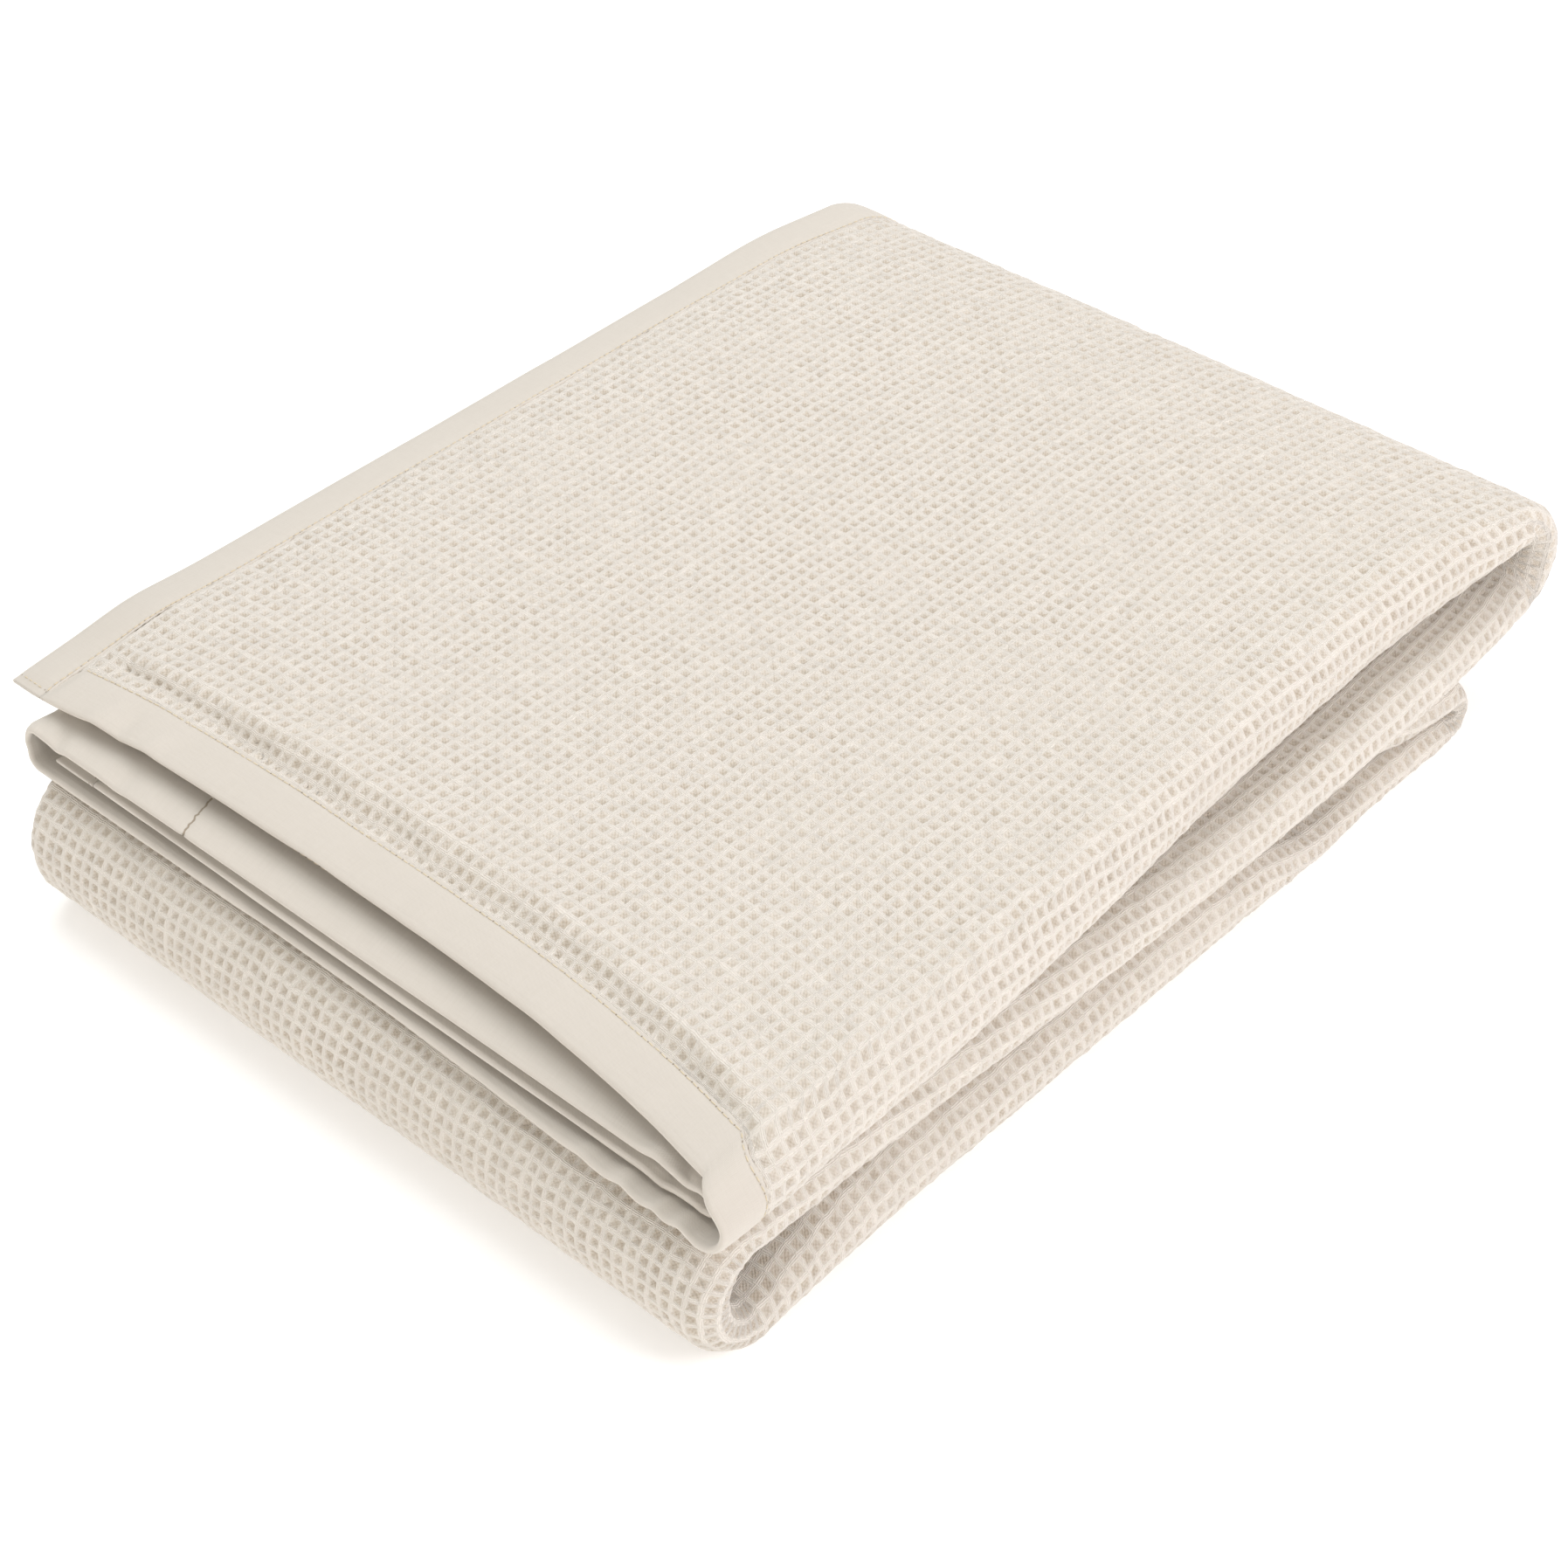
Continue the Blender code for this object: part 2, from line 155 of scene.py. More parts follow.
weave = {
    "cell": 4.38,          # pitch of the waffle cells
    "trueCells": 150,      # cells across the blanket that keep that pitch
    "acrossCells": 262,    # cells across the whole blanket
    "samples": (0.0, 0.3, 0.65),   # mesh points within a cell: a ridge's two sides, a pit
    "ridgeAt": 0.15,       # middle of the ridge within a cell
    "relief": 1.4,         # depth of a pit below its ridges, and how much that varies
    "reliefVaries": 0.2,
    "crowding": 1.25,      # how soon pits get shallow where cells crowd, down to a least
    "crowdLeast": 0.15,
    "sag": 0.12,           # how far a ridge sags between crossings
    "drift": 0.16,         # slow wander of the ridges, in cells
    "shiver": 0.12,        # quick wander of the ridges, in cells
    "puff": 0.35,          # slow rise and fall of the face
    "uneven": 0.24,        # rise and fall from point to point
    "hiddenLevel": 0.35,   # a smooth face's level below the ridges, as a share of the relief
    "cutEdge": 3,          # where the cloth ends inside its bindings, in cells
    "inside": 0.85,        # half thickness on the inner side
    "deepest": 0.6,        # how far a pit may go below the middle of the cloth
    "under": 0.6,          # more thickness below the trough beside the end binding
    "underAt": 21.0,
    "underWide": 6.0,
    "pressed": 0.55,       # half thickness under a binding
    "swellFrom": 16.6,     # where the cloth starts to swell beside a binding, and how soon
    "swell": 1.5,
}
perCell = len(weave["samples"])

# Size of the bumps and seed of each random field: sized in cells on the waffle cloth and
# in millimetres along a binding.
bumps = {
    "driftAlong": (11, 1),
    "shiverAlong": (1.3, 2),
    "driftAcross": (9, 3),
    "shiverAcross": (1.3, 4),
    "relief": (1.1, 5),
    "facePuff": (13, 6),
    "faceUneven": (0.8, 7),
    "endPuff": (5, 8),
    "sideLift": (23, 11),
    "sidePucker": (9, 12),
    "rimSlow": (6, 13),
    "rimQuick": (1.9, 14),
    "endLift": (23, 21),
    "endPucker": (9, 22),
    "endRipple": (8, 23),
}

# Soft creases pressed into the cloth inside the end binding: middle in cells across,
# heading in degrees from the along direction, half width in cells, and rise.
creaseReach = 2.2
creases = (
    # rippled outer edge of the binding near its corner
    (9, 10, 0.9, 0.7),
    (11.6, -8, 0.8, -0.8),
    (14.2, 12, 0.9, 0.7),
    (31, 20, 1.6, 0.5),
    (52, -15, 2, 0.5),
    # floor of the big front loop
    (77.6, 15, 0.7, -1.6),
    (79.9, -12, 0.6, -1.3),
    (82.6, 20, 0.8, -1.6),
    (86.5, -18, 0.9, -0.9),
    # tips of the second and third layer inside it
    (199.6, 25, 0.8, 1.5),
    (202.2, -25, 0.7, -1.5),
    (204.6, 10, 0.7, 1.6),
    (208.4, -20, 0.8, 1.4),
    # pocket at the back fold
    (141.8, 15, 0.7, -1.5),
    (144, -20, 0.6, 1.2),
    (146.4, 10, 0.7, -1.3),
    (152.5, 30, 0.8, -0.8),
)


# Rises softly from 0 to 1 as the share does.
def softRise(share):
    share = np.clip(share, 0, 1)
    return share * share * (3 - 2 * share)


# Smooth line through one column of a table.
def smoothColumn(rows, columns, name, at):
    keys = np.array([row[0] for row in rows], float)
    values = np.array([row[columns.index(name)] for row in rows], float)
    if keys[0] > keys[-1]:
        keys = keys[::-1]
        values = values[::-1]
    at = np.clip(at, keys[0], keys[-1])
    slopes = np.gradient(values, keys)
    index = np.clip(np.searchsorted(keys, at, side="right") - 1, 0, len(keys) - 2)
    step = keys[index + 1] - keys[index]
    u = (at - keys[index]) / step
    start = (2 * u**3 - 3 * u**2 + 1) * values[index] + (u**3 - 2 * u**2 + u) * step * slopes[index]
    finish = (3 * u**2 - 2 * u**3) * values[index + 1] + (u**3 - u**2) * step * slopes[index + 1]
    return start + finish


def runValue(rows, name, x):
    return smoothColumn(rows, runColumns, name, x)


# One cut across a run: foot point, direction of its height, and its Y places.
def runCut(rows, x, upright, fromEnd, slanted):
    low = runValue(rows, "low", x)
    high = runValue(rows, "high", x)
    cut = {
        "foot": (x, low) if upright else (x, high),
        "way": (0.0, 1.0) if upright else (0.0, -1.0),
        "height": high - low,
        "fromEnd": fromEnd,
        "slanted": slanted,
    }
    for name in ("front", "edge", "back"):
        cut[name] = runValue(rows, name, x)
    return cut


def turnCut(before, after, turn, share, slanted):
    start = dict(zip(runColumns, before))
    finish = dict(zip(runColumns, after))
    fromAbove = start["high"] > finish["high"]
    across = math.cos(math.pi * share)
    out = turn["side"] * math.sin(math.pi * share)
    faces = []
    for reach, upper in ((turn["outer"], fromAbove), (turn["inner"], not fromAbove)):
        first = start["high" if upper else "low"]
        last = finish["low" if upper else "high"]
        high = (first + last) / 2 + (first - last) / 2 * across
        faces.append(Vector((start["x"] + reach * out, high)))
    foot, head = faces if turn["underOutside"] else faces[::-1]
    cut = {
        "foot": tuple(foot),
        "way": tuple((head - foot).normalized()),
        "height": (head - foot).length,
        "fromEnd": None,
        "slanted": slanted,
    }
    for name in ("front", "edge", "back"):
        cut[name] = start[name] * (1 - share) + finish[name] * share
    cut["edge"] -= turn["drawn"] * abs(out)
    cut["back"] -= turn["drawn"] * abs(out)
    return cut


# The cut at a number of cells from the top run's end.
def cutAt(cells):
    name = next(name for name, count in stretches.items()
                if cells <= startOf[name] + count or name == "tuck")
    share = (cells - startOf[name]) / stretches[name]
    slanted = name in ("top", "far", "middle")
    if name in turns:
        before, after, turn = turns[name]
        return turnCut(before[-1], after[0], turn, share, slanted)
    rows = runs[name]
    x = rows[0][0] + (rows[-1][0] - rows[0][0]) * share
    return runCut(rows, x, name in ("top", "bottom"), x if name == "top" else None, slanted)


def arcPoints(shares, centre, start, finish, reach):
    height = (start + finish) / 2 + (start - finish) / 2 * np.cos(np.pi * shares)
    return centre + reach * np.sin(np.pi * shares), height


def linePoints(shares, start, finish, height):
    return start + (finish - start) * shares, np.full(len(shares), height)


# The folded centre line of the cloth in one cut, closely sampled: its length so far and
# its XYZ, from the bound edge of the top layer to the inner free edge.
def cutLine(cut):
    height = cut["height"]
    fromEnd = cut["fromEnd"]
    first = height - packet["cloth"] / 2
    fourth = packet["cloth"] / 2
    second = fourth + packet["secondLayer"] * (first - fourth)
    third = fourth + packet["thirdLayer"] * (first - fourth)
    depth = min(packet["loopShare"] * height, packet["loopMost"])
    loopY = cut["front"] + depth
    backReach = packet["backRound"] * (second - fourth)
    backY = cut["back"] - backReach
    innerReach = packet["innerRound"] * (second - third)
    innerY = cut["front"] + max(packet["innerShare"] * height, packet["innerLeast"]) + innerReach
    shares = [np.linspace(0, 1, count) for count in packet["counts"]]
    parts = [
        linePoints(shares[0], cut["edge"], loopY, first),
        arcPoints(shares[1], loopY, first, fourth, -depth),
        linePoints(shares[2], loopY, backY, fourth),
        arcPoints(shares[3], backY, fourth, second, backReach),
        linePoints(shares[4], backY, innerY, second),
        arcPoints(shares[5], innerY, second, third, -innerReach),
        linePoints(shares[6], innerY, backY - packet["freeBack"], third),
    ]
    y, high = (np.concatenate(values) for values in zip(*parts))
    place = np.concatenate([fold + share for fold, share in enumerate(shares)])
    if fromEnd is not None:
        top = slice(packet["counts"][0])
        slope = packet["edgeSlope"] * min(1.0, (topRun[-1][0] - fromEnd) / packet["slopeFade"])
        near = np.clip(1 - (cut["edge"] - y[top]) / packet["edgeReach"], 0, None)
        high[top] -= slope * near ** packet["slopeCurve"]
    length = np.concatenate(([0.0], np.cumsum(np.hypot(np.diff(y), np.diff(high)))))
    x = cut["foot"][0] + cut["way"][0] * high
    z = cut["foot"][1] + cut["way"][1] * high
    if fromEnd is not None:
        fade = softRise((fromEnd - packet["endRigid"]) / (packet["endFade"] - packet["endRigid"]))
        sag = max(0.0, 1 - fromEnd / packet["sagFade"])
        x = x + smoothColumn(endShape, endColumns, "inward", place) * (1 - fade)
        z = z - smoothColumn(endShape, endColumns, "sag", place) * sag
    if cut["slanted"]:
        slant = (cut["foot"][0] - packet["skewFrom"]) / (topRun[-1][0] - packet["skewFrom"])
        x = x - packet["skew"] * (y - packet["skewAbout"]) * softRise(slant)
    return length, np.stack([x, y, z], axis=1)


# Length across the blanket, in millimetres, at a number of cells from the bound edge.
def acrossLength(cells, whole):
    true = weave["trueCells"] * weave["cell"]
    rest = (cells - weave["trueCells"]) / (weave["acrossCells"] - weave["trueCells"])
    return np.where(cells < weave["trueCells"], cells * weave["cell"], true + rest * (whole - true))


# The same at places in millimetres: from the bound edge, or, below zero, back from the
# free edge.
def stripLength(places, whole):
    return np.where(places < 0, whole + places, places)


def unitVectors(vectors):
    return vectors / np.maximum(np.linalg.norm(vectors, axis=-1, keepdims=True), 1e-9)


# Directions along a sheet, across it and out of its face.
def sheetWays(points, along, across):
    alongWay = np.gradient(points, along, axis=0)
    acrossWay = np.gradient(points, across, axis=1)
    return alongWay, acrossWay, unitVectors(np.cross(acrossWay, alongWay))


# Points of the folded sheet on a grid of cells along and places across, and the way out
# of its face.
def foldedSheet(along, across, lengthOf=acrossLength):
    rows = []
    for cells in along:
        length, line = cutLine(cutAt(cells))
        wanted = lengthOf(across, length[-1])
        rows.append(np.stack([np.interp(wanted, length, line[:, axis]) for axis in range(3)], axis=1))
    points = np.array(rows)
    return points, sheetWays(points, along, across)[2]


# The folded sheet with its creases pressed in.
def creasedSheet(along, across):
    points, outWay = foldedSheet(along, across)
    a, b = np.meshgrid(along, across, indexing="ij")
    height = np.zeros_like(a)
    for acrossAt, heading, width, rise in creases:
        turn = math.radians(heading)
        run = a * math.cos(turn) + (b - acrossAt) * math.sin(turn)
        side = (b - acrossAt) * math.cos(turn) - a * math.sin(turn)
        height += rise * np.exp(-(run / creaseReach) ** 4 - (side / width) ** 2)
    points = points + outWay * height[..., None]
    return points, sheetWays(points, along, across)[2]


# One of the soft random fields, at two coordinates.
def softNoise(a, b, name):
    size, seed = bumps[name]
    margin = 3
    u = np.asarray(a) / size + margin
    v = np.asarray(b) / size + margin
    draw = np.random.default_rng(seed)
    table = draw.uniform(-1, 1, (int(np.max(u)) + margin, int(np.max(v)) + margin))
    i = np.floor(u).astype(int)
    j = np.floor(v).astype(int)
    fu = softRise(u - i)
    fv = softRise(v - j)
    lower = table[i, j] * (1 - fv) + table[i, j + 1] * fv
    upper = table[i + 1, j] * (1 - fv) + table[i + 1, j + 1] * fv
    return lower * (1 - fu) + upper * fu


def alongNoise(lengths, name):
    return softNoise(lengths, lengths * 0, name)


def toMetres(points):
    return (np.asarray(points) - packet["middle"]) * 0.001


# Makes one closed piece from points in the packet's millimetres, with a map of flat
# coordinates that its weave follows.
def makePiece(name, points, faces, flat, material, plain=None, alongShares=None):
    mesh = bpy.data.meshes.new(name)
    mesh.from_pydata(toMetres(points).tolist(), [], faces)
    mesh.polygons.foreach_set("use_smooth", [True] * len(mesh.polygons))
    corners = np.empty(len(mesh.loops), dtype=np.int32)
    mesh.loops.foreach_get("vertex_index", corners)
    flatPlaces = np.asarray(flat, dtype=np.float32)[corners]
    if alongShares is not None:
        flatPlaces[:, 0] *= np.repeat(alongShares, [len(face) for face in faces])
    flatMap = mesh.uv_layers.new(name="weave")
    flatMap.uv.foreach_set("vector", flatPlaces.ravel())
    if plain is not None:
        share = mesh.attributes.new("plain", "FLOAT", "POINT")
        share.data.foreach_set("value", np.asarray(plain, dtype=np.float32))
    mesh.materials.append(material)
    piece = bpy.data.objects.new(name, mesh)
    bpy.context.scene.collection.objects.link(piece)
    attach(piece, "root")
    return piece


# A number from a shader node. Python's signs on it add Math nodes.
class Channel:
    def __init__(self, finish, socket):
        self.finish = finish
        self.socket = socket

    def math(self, operation, *others):
        values = {0: self}
        for place, other in enumerate(others, 1):
            values[place] = other
        return self.finish.node("ShaderNodeMath", {"operation": operation}, values)

    def __add__(self, other):
        return self.math("ADD", other)

    def __radd__(self, other):
        return self.math("ADD", other)

    def __sub__(self, other):
        return self.math("SUBTRACT", other)

    def __rsub__(self, other):
        return (self * -1.0).math("ADD", other)

    def __mul__(self, other):
        return self.math("MULTIPLY", other)

    def __rmul__(self, other):
        return self.math("MULTIPLY", other)


# One material and the nodes it is made of.
class Finish:
    def __init__(self, name, settings):
        self.material = bpy.data.materials.new(name)
        self.material.use_nodes = True
        self.tree = self.material.node_tree
        self.shader = self.tree.nodes["Principled BSDF"]
        self.show(settings)

    # Sets or links sockets of the shader itself.
    def show(self, values):
        for socket, value in values.items():
            self.feed(self.shader.inputs[socket], value)

    # Adds a node: its settings first, then the values or links of its sockets.
    def node(self, kind, settings, values, output=0):
        made = self.tree.nodes.new(kind)
        for setting, value in settings.items():
            setattr(made, setting, value)
        for socket, value in values.items():
            self.feed(made.inputs[socket], value)
        return Channel(self, made.outputs[output])

    def feed(self, socket, value):
        if isinstance(value, Channel):
            self.tree.links.new(value.socket, socket)
        elif socket.type == "RGBA":
            socket.default_value = (*value, 1.0)
        else:
            socket.default_value = value

    def mix(self, first, second, share):
        values = {0: share, 6: first, 7: second}
        return self.node("ShaderNodeMix", {"data_type": "RGBA"}, values, output=2)

    def softStep(self, value, start, finish):
        settings = {"interpolation_type": "SMOOTHSTEP"}
        return self.node("ShaderNodeMapRange", settings, {0: value, 1: start, 2: finish})

    def noise(self, place, scale, detail):
        values = {"Vector": place, "Scale": scale, "Detail": detail}
        return self.node("ShaderNodeTexNoise", {}, values)

    # The piece's flat coordinates as a place, and as two numbers.
    def flatPlace(self):
        place = self.node("ShaderNodeUVMap", {"uv_map": "weave"}, {})
        split = self.tree.nodes.new("ShaderNodeSeparateXYZ")
        self.feed(split.inputs[0], place)
        return place, Channel(self, split.outputs[0]), Channel(self, split.outputs[1])

    def solidPlace(self):
        return self.node("ShaderNodeTexCoord", {}, {}, output="Object")

    def bump(self, height, distance, strength=1.0, normal=None):
        values = {"Strength": strength, "Distance": distance, "Height": height}
        if normal is not None:
            values["Normal"] = normal
        return self.node("ShaderNodeBump", {}, values)


waffleLook = {
    "ridge": (0.825, 0.780, 0.720),
    # the recess colour: the pits' own darker taupe together with painted shade standing in for the
    # occlusion inside them
    "recess": (0.485, 0.405, 0.310),
    "warm": (0.500, 0.380, 0.250),      # odd warm fibres in the recesses
    "warmFrom": (0.66, 0.78),
    "warmShare": 0.35,
    "worn": (0.770, 0.722, 0.655),      # slow patches over the whole cloth
    "wornFrom": (0.3, 0.75),
    "wornShare": 0.3,
    "recessShade": 0.26,                 # how far a recess goes to the recess colour, which is its own darker tone with painted shade, and how that varies by cell
    "cellShadeVaries": 0.24,
    "gapTint": 0.15,                    # tint between its threads, and how it varies
    "gapFibre": 0.5,
    "ridgeTint": 0.05,
    "fibreTint": 0.16,
    "ridgeHalf": 0.15,                  # half width of a ridge, in cells
    "ridgeSoft": (-0.03, 0.16),         # where its sides start and end, from there
    "ridgeThreads": 8.0,                # threads in the width of a cell, on the ridges
    "ridgeMeet": 0.04,
    "floorThreads": 3.5,                # pairs of threads in it, on the floors
    "floorShift": (0.2, 0.3),           # how far these shift from cell to cell
    "wander": 0.16,                     # how far the drawn cells wander, in cells
    "fray": 0.26,                       # how far a ridge's side frays, and the threads
    "ridgeFray": 0.06,
    "floorFray": 0.16,
    "wanderNoise": (1.7, 2.0),          # scale and detail of each noise
    "frayNoise": (4.2, 3.0),
    "fibreNoise": (5.5, 2.0),
    "patchNoise": (22.0, 3.0),
    "warmNoise": (5.1, 1.0),
    "roughness": 0.95,
    "roughVaries": 0.08,
    "pitBump": 0.0011,                  # where the cells are drawn, not modelled
    "threadBump": 0.00018,
    "fibreBump": 1.5,
}


def makeWaffle():
    look = waffleLook
    finish = Finish("waffle_cotton_weave", {"Sheen Weight": 0.12, "Sheen Roughness": 0.6,
                                            "Specular IOR Level": 0.2})
    place, along, across = finish.flatPlace()

    # where a place lies in its cell; the ridges fray from thread to thread
    fray = finish.noise(place, *look["frayNoise"]) - 0.5
    wander = (finish.noise(place, *look["wanderNoise"]) - 0.5) * look["wander"]
    a = along + wander - weave["ridgeAt"]
    b = across - wander - weave["ridgeAt"]
    offA = ((a + 0.5).math("FRACT") - 0.5).math("ABSOLUTE")
    offB = ((b + 0.5).math("FRACT") - 0.5).math("ABSOLUTE")
    inside = offA.math("MINIMUM", offB) + fray * look["fray"]
    recess = finish.softStep(inside, *(look["ridgeHalf"] + off for off in look["ridgeSoft"]))
    cellPlace = finish.node("ShaderNodeCombineXYZ", {}, {0: a.math("FLOOR"), 1: b.math("FLOOR")})
    chance = finish.node("ShaderNodeTexWhiteNoise", {"noise_dimensions": "2D"}, {"Vector": cellPlace})

    # two or three threads along each ridge, and a check of threads on each floor
    ridgeTurn = 2 * math.pi * look["ridgeThreads"]
    ridgeAlong = finish.softStep(offB - offA, -look["ridgeMeet"], look["ridgeMeet"])
    besideRidge = offA * ridgeAlong + offB * (1.0 - ridgeAlong)
    onRidge = ((besideRidge + fray * look["ridgeFray"]) * ridgeTurn).math("COSINE")
    floorTurn = 2 * math.pi * look["floorThreads"]
    shiftA, shiftB = (chance * shift for shift in look["floorShift"])
    checkA = ((a + fray * look["floorFray"] + shiftA) * floorTurn).math("COSINE")
    checkB = ((b - fray * look["floorFray"] - shiftB) * floorTurn).math("COSINE")
    check = checkA * checkB
    fibre = finish.noise(place, *look["fibreNoise"])
    gaps = recess * (0.5 - check * 0.5)
    # painted shade in the pits over their own darker tone, varied at random by cell; then the darker tone
    # between floor threads and between ridge threads, and of fibres
    tint = recess * (look["recessShade"] + look["cellShadeVaries"] * chance)
    tint = tint + gaps * (look["gapTint"] + look["gapFibre"] * fibre)
    tint = tint + (1.0 - recess) * (1.0 - onRidge) * look["ridgeTint"]
    tint = tint + (fibre - 0.5) * look["fibreTint"]
    shade = finish.mix(look["ridge"], look["recess"], tint)
    warm = finish.softStep(finish.noise(place, *look["warmNoise"]), *look["warmFrom"]) * recess
    shade = finish.mix(shade, look["warm"], warm * look["warmShare"])
    patch = finish.noise(finish.solidPlace(), *look["patchNoise"])
    worn = finish.softStep(patch, *look["wornFrom"])
    shade = finish.mix(shade, look["worn"], worn * look["wornShare"])

    plain = finish.node("ShaderNodeAttribute", {"attribute_name": "plain"}, {}, output="Fac")
    threads = (onRidge * (1.0 - recess) + check * recess) * 0.5 + fibre * look["fibreBump"]
    fine = finish.bump(threads, look["threadBump"])
    finish.show({"Base Color": shade,
                 "Roughness": look["roughness"] - look["roughVaries"] * fibre,
                 "Normal": finish.bump(recess * plain * -1.0, look["pitBump"], normal=fine)})
    return finish.material


plainLook = {
    "cloth": (0.668, 0.626, 0.569),
    "slub": (0.612, 0.565, 0.499),
    "slubFrom": (0.35, 0.7),
    "slubShare": 0.35,
    "threadShare": 0.06,
    "patchShare": 0.1,
    "holeShade": (0.240, 0.180, 0.110),      # painted shade of the needle holes along the stitching
    "holeWide": (0.12, 0.42),
    "holeShare": (0.3, 0.6),            # how dark they are at least, and more here and there
    "oftenFrom": (0.42, 0.6),
    "hemShare": 0.6,
    "seamWide": (0.12, 0.5),            # the join's line of painted shade, and how far it wanders
    "seamShare": 0.75,
    "seamWander": 1.6,
    "threadPitch": 0.42,                # of the plain weave, in millimetres
    "threadWander": 1.3,
    "slubStretch": ((0.10, 2.2, 1.0), (2.2, 0.10, 1.0)),
    "slubNoise": (1.0, 3.0),            # scale and detail of each noise
    "wanderNoise": (0.9, 2.0),
    "patchNoise": (30.0, 2.0),
    "oftenNoise": (0.55, 1.0),
    "seamNoise": (0.45, 2.0),
    "roughness": 0.92,
    "roughVaries": 0.06,
    "threadBump": 0.5,
    "slubBump": 1.2,
    "bump": (0.00009, 0.6),             # distance and strength
}


# Painted shade of needle holes, from the distance off a line of stitches and the stitches counted along
# it.
def needleHoleShade(finish, off, stitches):
    offHole = ((stitches.math("FRACT") - 0.5) * binding["pitch"]).math("ABSOLUTE")
    away = (off * off + offHole * offHole).math("SQRT")
    return 1.0 - finish.softStep(away, *plainLook["holeWide"])


def makePlain():
    look = plainLook
    finish = Finish("plain_cotton_weave", {"Sheen Weight": 0.1, "Sheen Roughness": 0.6,
                                           "Specular IOR Level": 0.22})
    place, along, across = finish.flatPlace()
    turn = 2 * math.pi / look["threadPitch"]
    wander = finish.noise(place, *look["wanderNoise"]) * look["threadWander"]
    warp = (along * turn + wander).math("SINE")
    weft = (across * turn + wander).math("SINE")
    crossed = warp * weft
    slubs = []
    for stretched in look["slubStretch"]:
        slubPlace = finish.node("ShaderNodeMapping", {}, {"Vector": place, "Scale": stretched})
        slubs.append(finish.noise(slubPlace, *look["slubNoise"]))
    slub = (slubs[0] + slubs[1]) * 0.5
    patch = finish.noise(finish.solidPlace(), *look["patchNoise"])
    amount = finish.softStep(slub, *look["slubFrom"]) * look["slubShare"]
    amount = amount + crossed * look["threadShare"] + patch * look["patchShare"]
    shade = finish.mix(look["cloth"], look["slub"], amount)

    # painted shade of the needle holes along both rims and across the side binding's end, and of the join
    stitchAt = binding["width"] - binding["stitchIn"]
    perStitch = 1 / binding["pitch"]
    offStitch = (across.math("ABSOLUTE") - stitchAt).math("ABSOLUTE")
    holeShade = needleHoleShade(finish, offStitch, along * perStitch + 0.5)
    least, more = look["holeShare"]
    often = finish.softStep(finish.noise(place, *look["oftenNoise"]), *look["oftenFrom"])
    offHem = (along - binding["hemIn"]).math("ABSOLUTE")
    hemHoleShade = needleHoleShade(finish, offHem, across * perStitch)
    seamWander = (finish.noise(place, *look["seamNoise"]) - 0.5) * look["seamWander"]
    offSeam = (along - binding["seamAt"] + seamWander).math("ABSOLUTE")
    seam = 1.0 - finish.softStep(offSeam, *look["seamWide"])
    # dark is the painted shade of the holes, the join and the hem holes, mixed toward the hole colour
    dark = (holeShade * (least + more * often)).math("MAXIMUM", seam * look["seamShare"])
    dark = dark.math("MAXIMUM", hemHoleShade * look["hemShare"])
    threads = crossed * look["threadBump"] + slub * look["slubBump"]
    finish.show({"Base Color": finish.mix(shade, look["holeShade"], dark),
                 "Roughness": look["roughness"] - look["roughVaries"] * slub,
                 "Normal": finish.bump(threads, *look["bump"])})
    return finish.material


threadLook = {
    "light": (0.78, 0.70, 0.55),
    "dark": (0.62, 0.53, 0.38),
    "plyNoise": (2600.0, 1.0),
    "bump": (0.0001, 0.5),
}


def makeThread():
    look = threadLook
    finish = Finish("sewing_thread", {"Roughness": 0.75, "Specular IOR Level": 0.3,
                                      "Sheen Weight": 0.1})
    ply = finish.noise(finish.solidPlace(), *look["plyNoise"])
    finish.show({"Base Color": finish.mix(look["light"], look["dark"], ply),
                 "Normal": finish.bump(ply, *look["bump"])})
    return finish.material


# Soft puff of the waffle cloth beside the end binding: at a number of cells across, how
# far from the binding it starts to rise and has its crest, and how high that stands.
puffColumns = ("cells", "start", "reach", "rise")
endPuff = (
    (0, 5, 9, -2),
    (5, 6, 10, -1.2),
    (12, 4.5, 11, -0.4),
    (22, 2, 13, 0.5),
    (34, 0.5, 15, 0.6),
    (46, 0, 14, 0.5),
    (58, 0, 11, 0.3),
    (68, 0, 8, 0),
    (76, 0, 8, 0),
)
puffShape = {
    "trough": 0.55,
    "troughAt": 2.2,
    "troughWide": 3.2,
    "crestAt": 44.0,
    "fade": 30.0,
    "uneven": 0.3,
    "sideFrom": 4.0,       # from here on it stands out beside the side binding, in cells
    "sideFade": 4.0,
    "loopEnd": 72.0,       # up to here it goes, to the front loop and to the far turn
    "loopFade": 8.0,
    "farFade": 20.0,
}

# Mesh lines along and across, in cells, where the cloth is only carried and not shown
# close up; and the shown fields that take every sample: cells along and cells across.
coarse = {
    "beside": 4,           # one line lies this far in from each edge
    "alongStep": {"top": 6, "far": 2, "middle": 6, "near": 2, "bottom": 6, "small": 1, "tuck": 6},
    "acrossBands": ((0, 64, 8), (64, 82, 2), (82, 130, 8), (130, 150, 2), (150, 202, 8),
                    (202, 224, 2), (224, 262, 8)),
}
shownFields = (
    (startOf["top"] + 4, startOf["far"], 4, 75),
    (startOf["far"], startOf["far"] + 5, 4, 67),
    (startOf["far"] + 5, startOf["middle"], 64, 67),
    (startOf["middle"], startOf["near"], 64, 80),
    (startOf["near"], startOf["bottom"], 64, 140),
    (startOf["bottom"], startOf["small"], 64, 73),
    (startOf["small"], startOf["tuck"], 66, 74),
    (startOf["tuck"], startOf["tuck"] + 12, 64, 74),
)

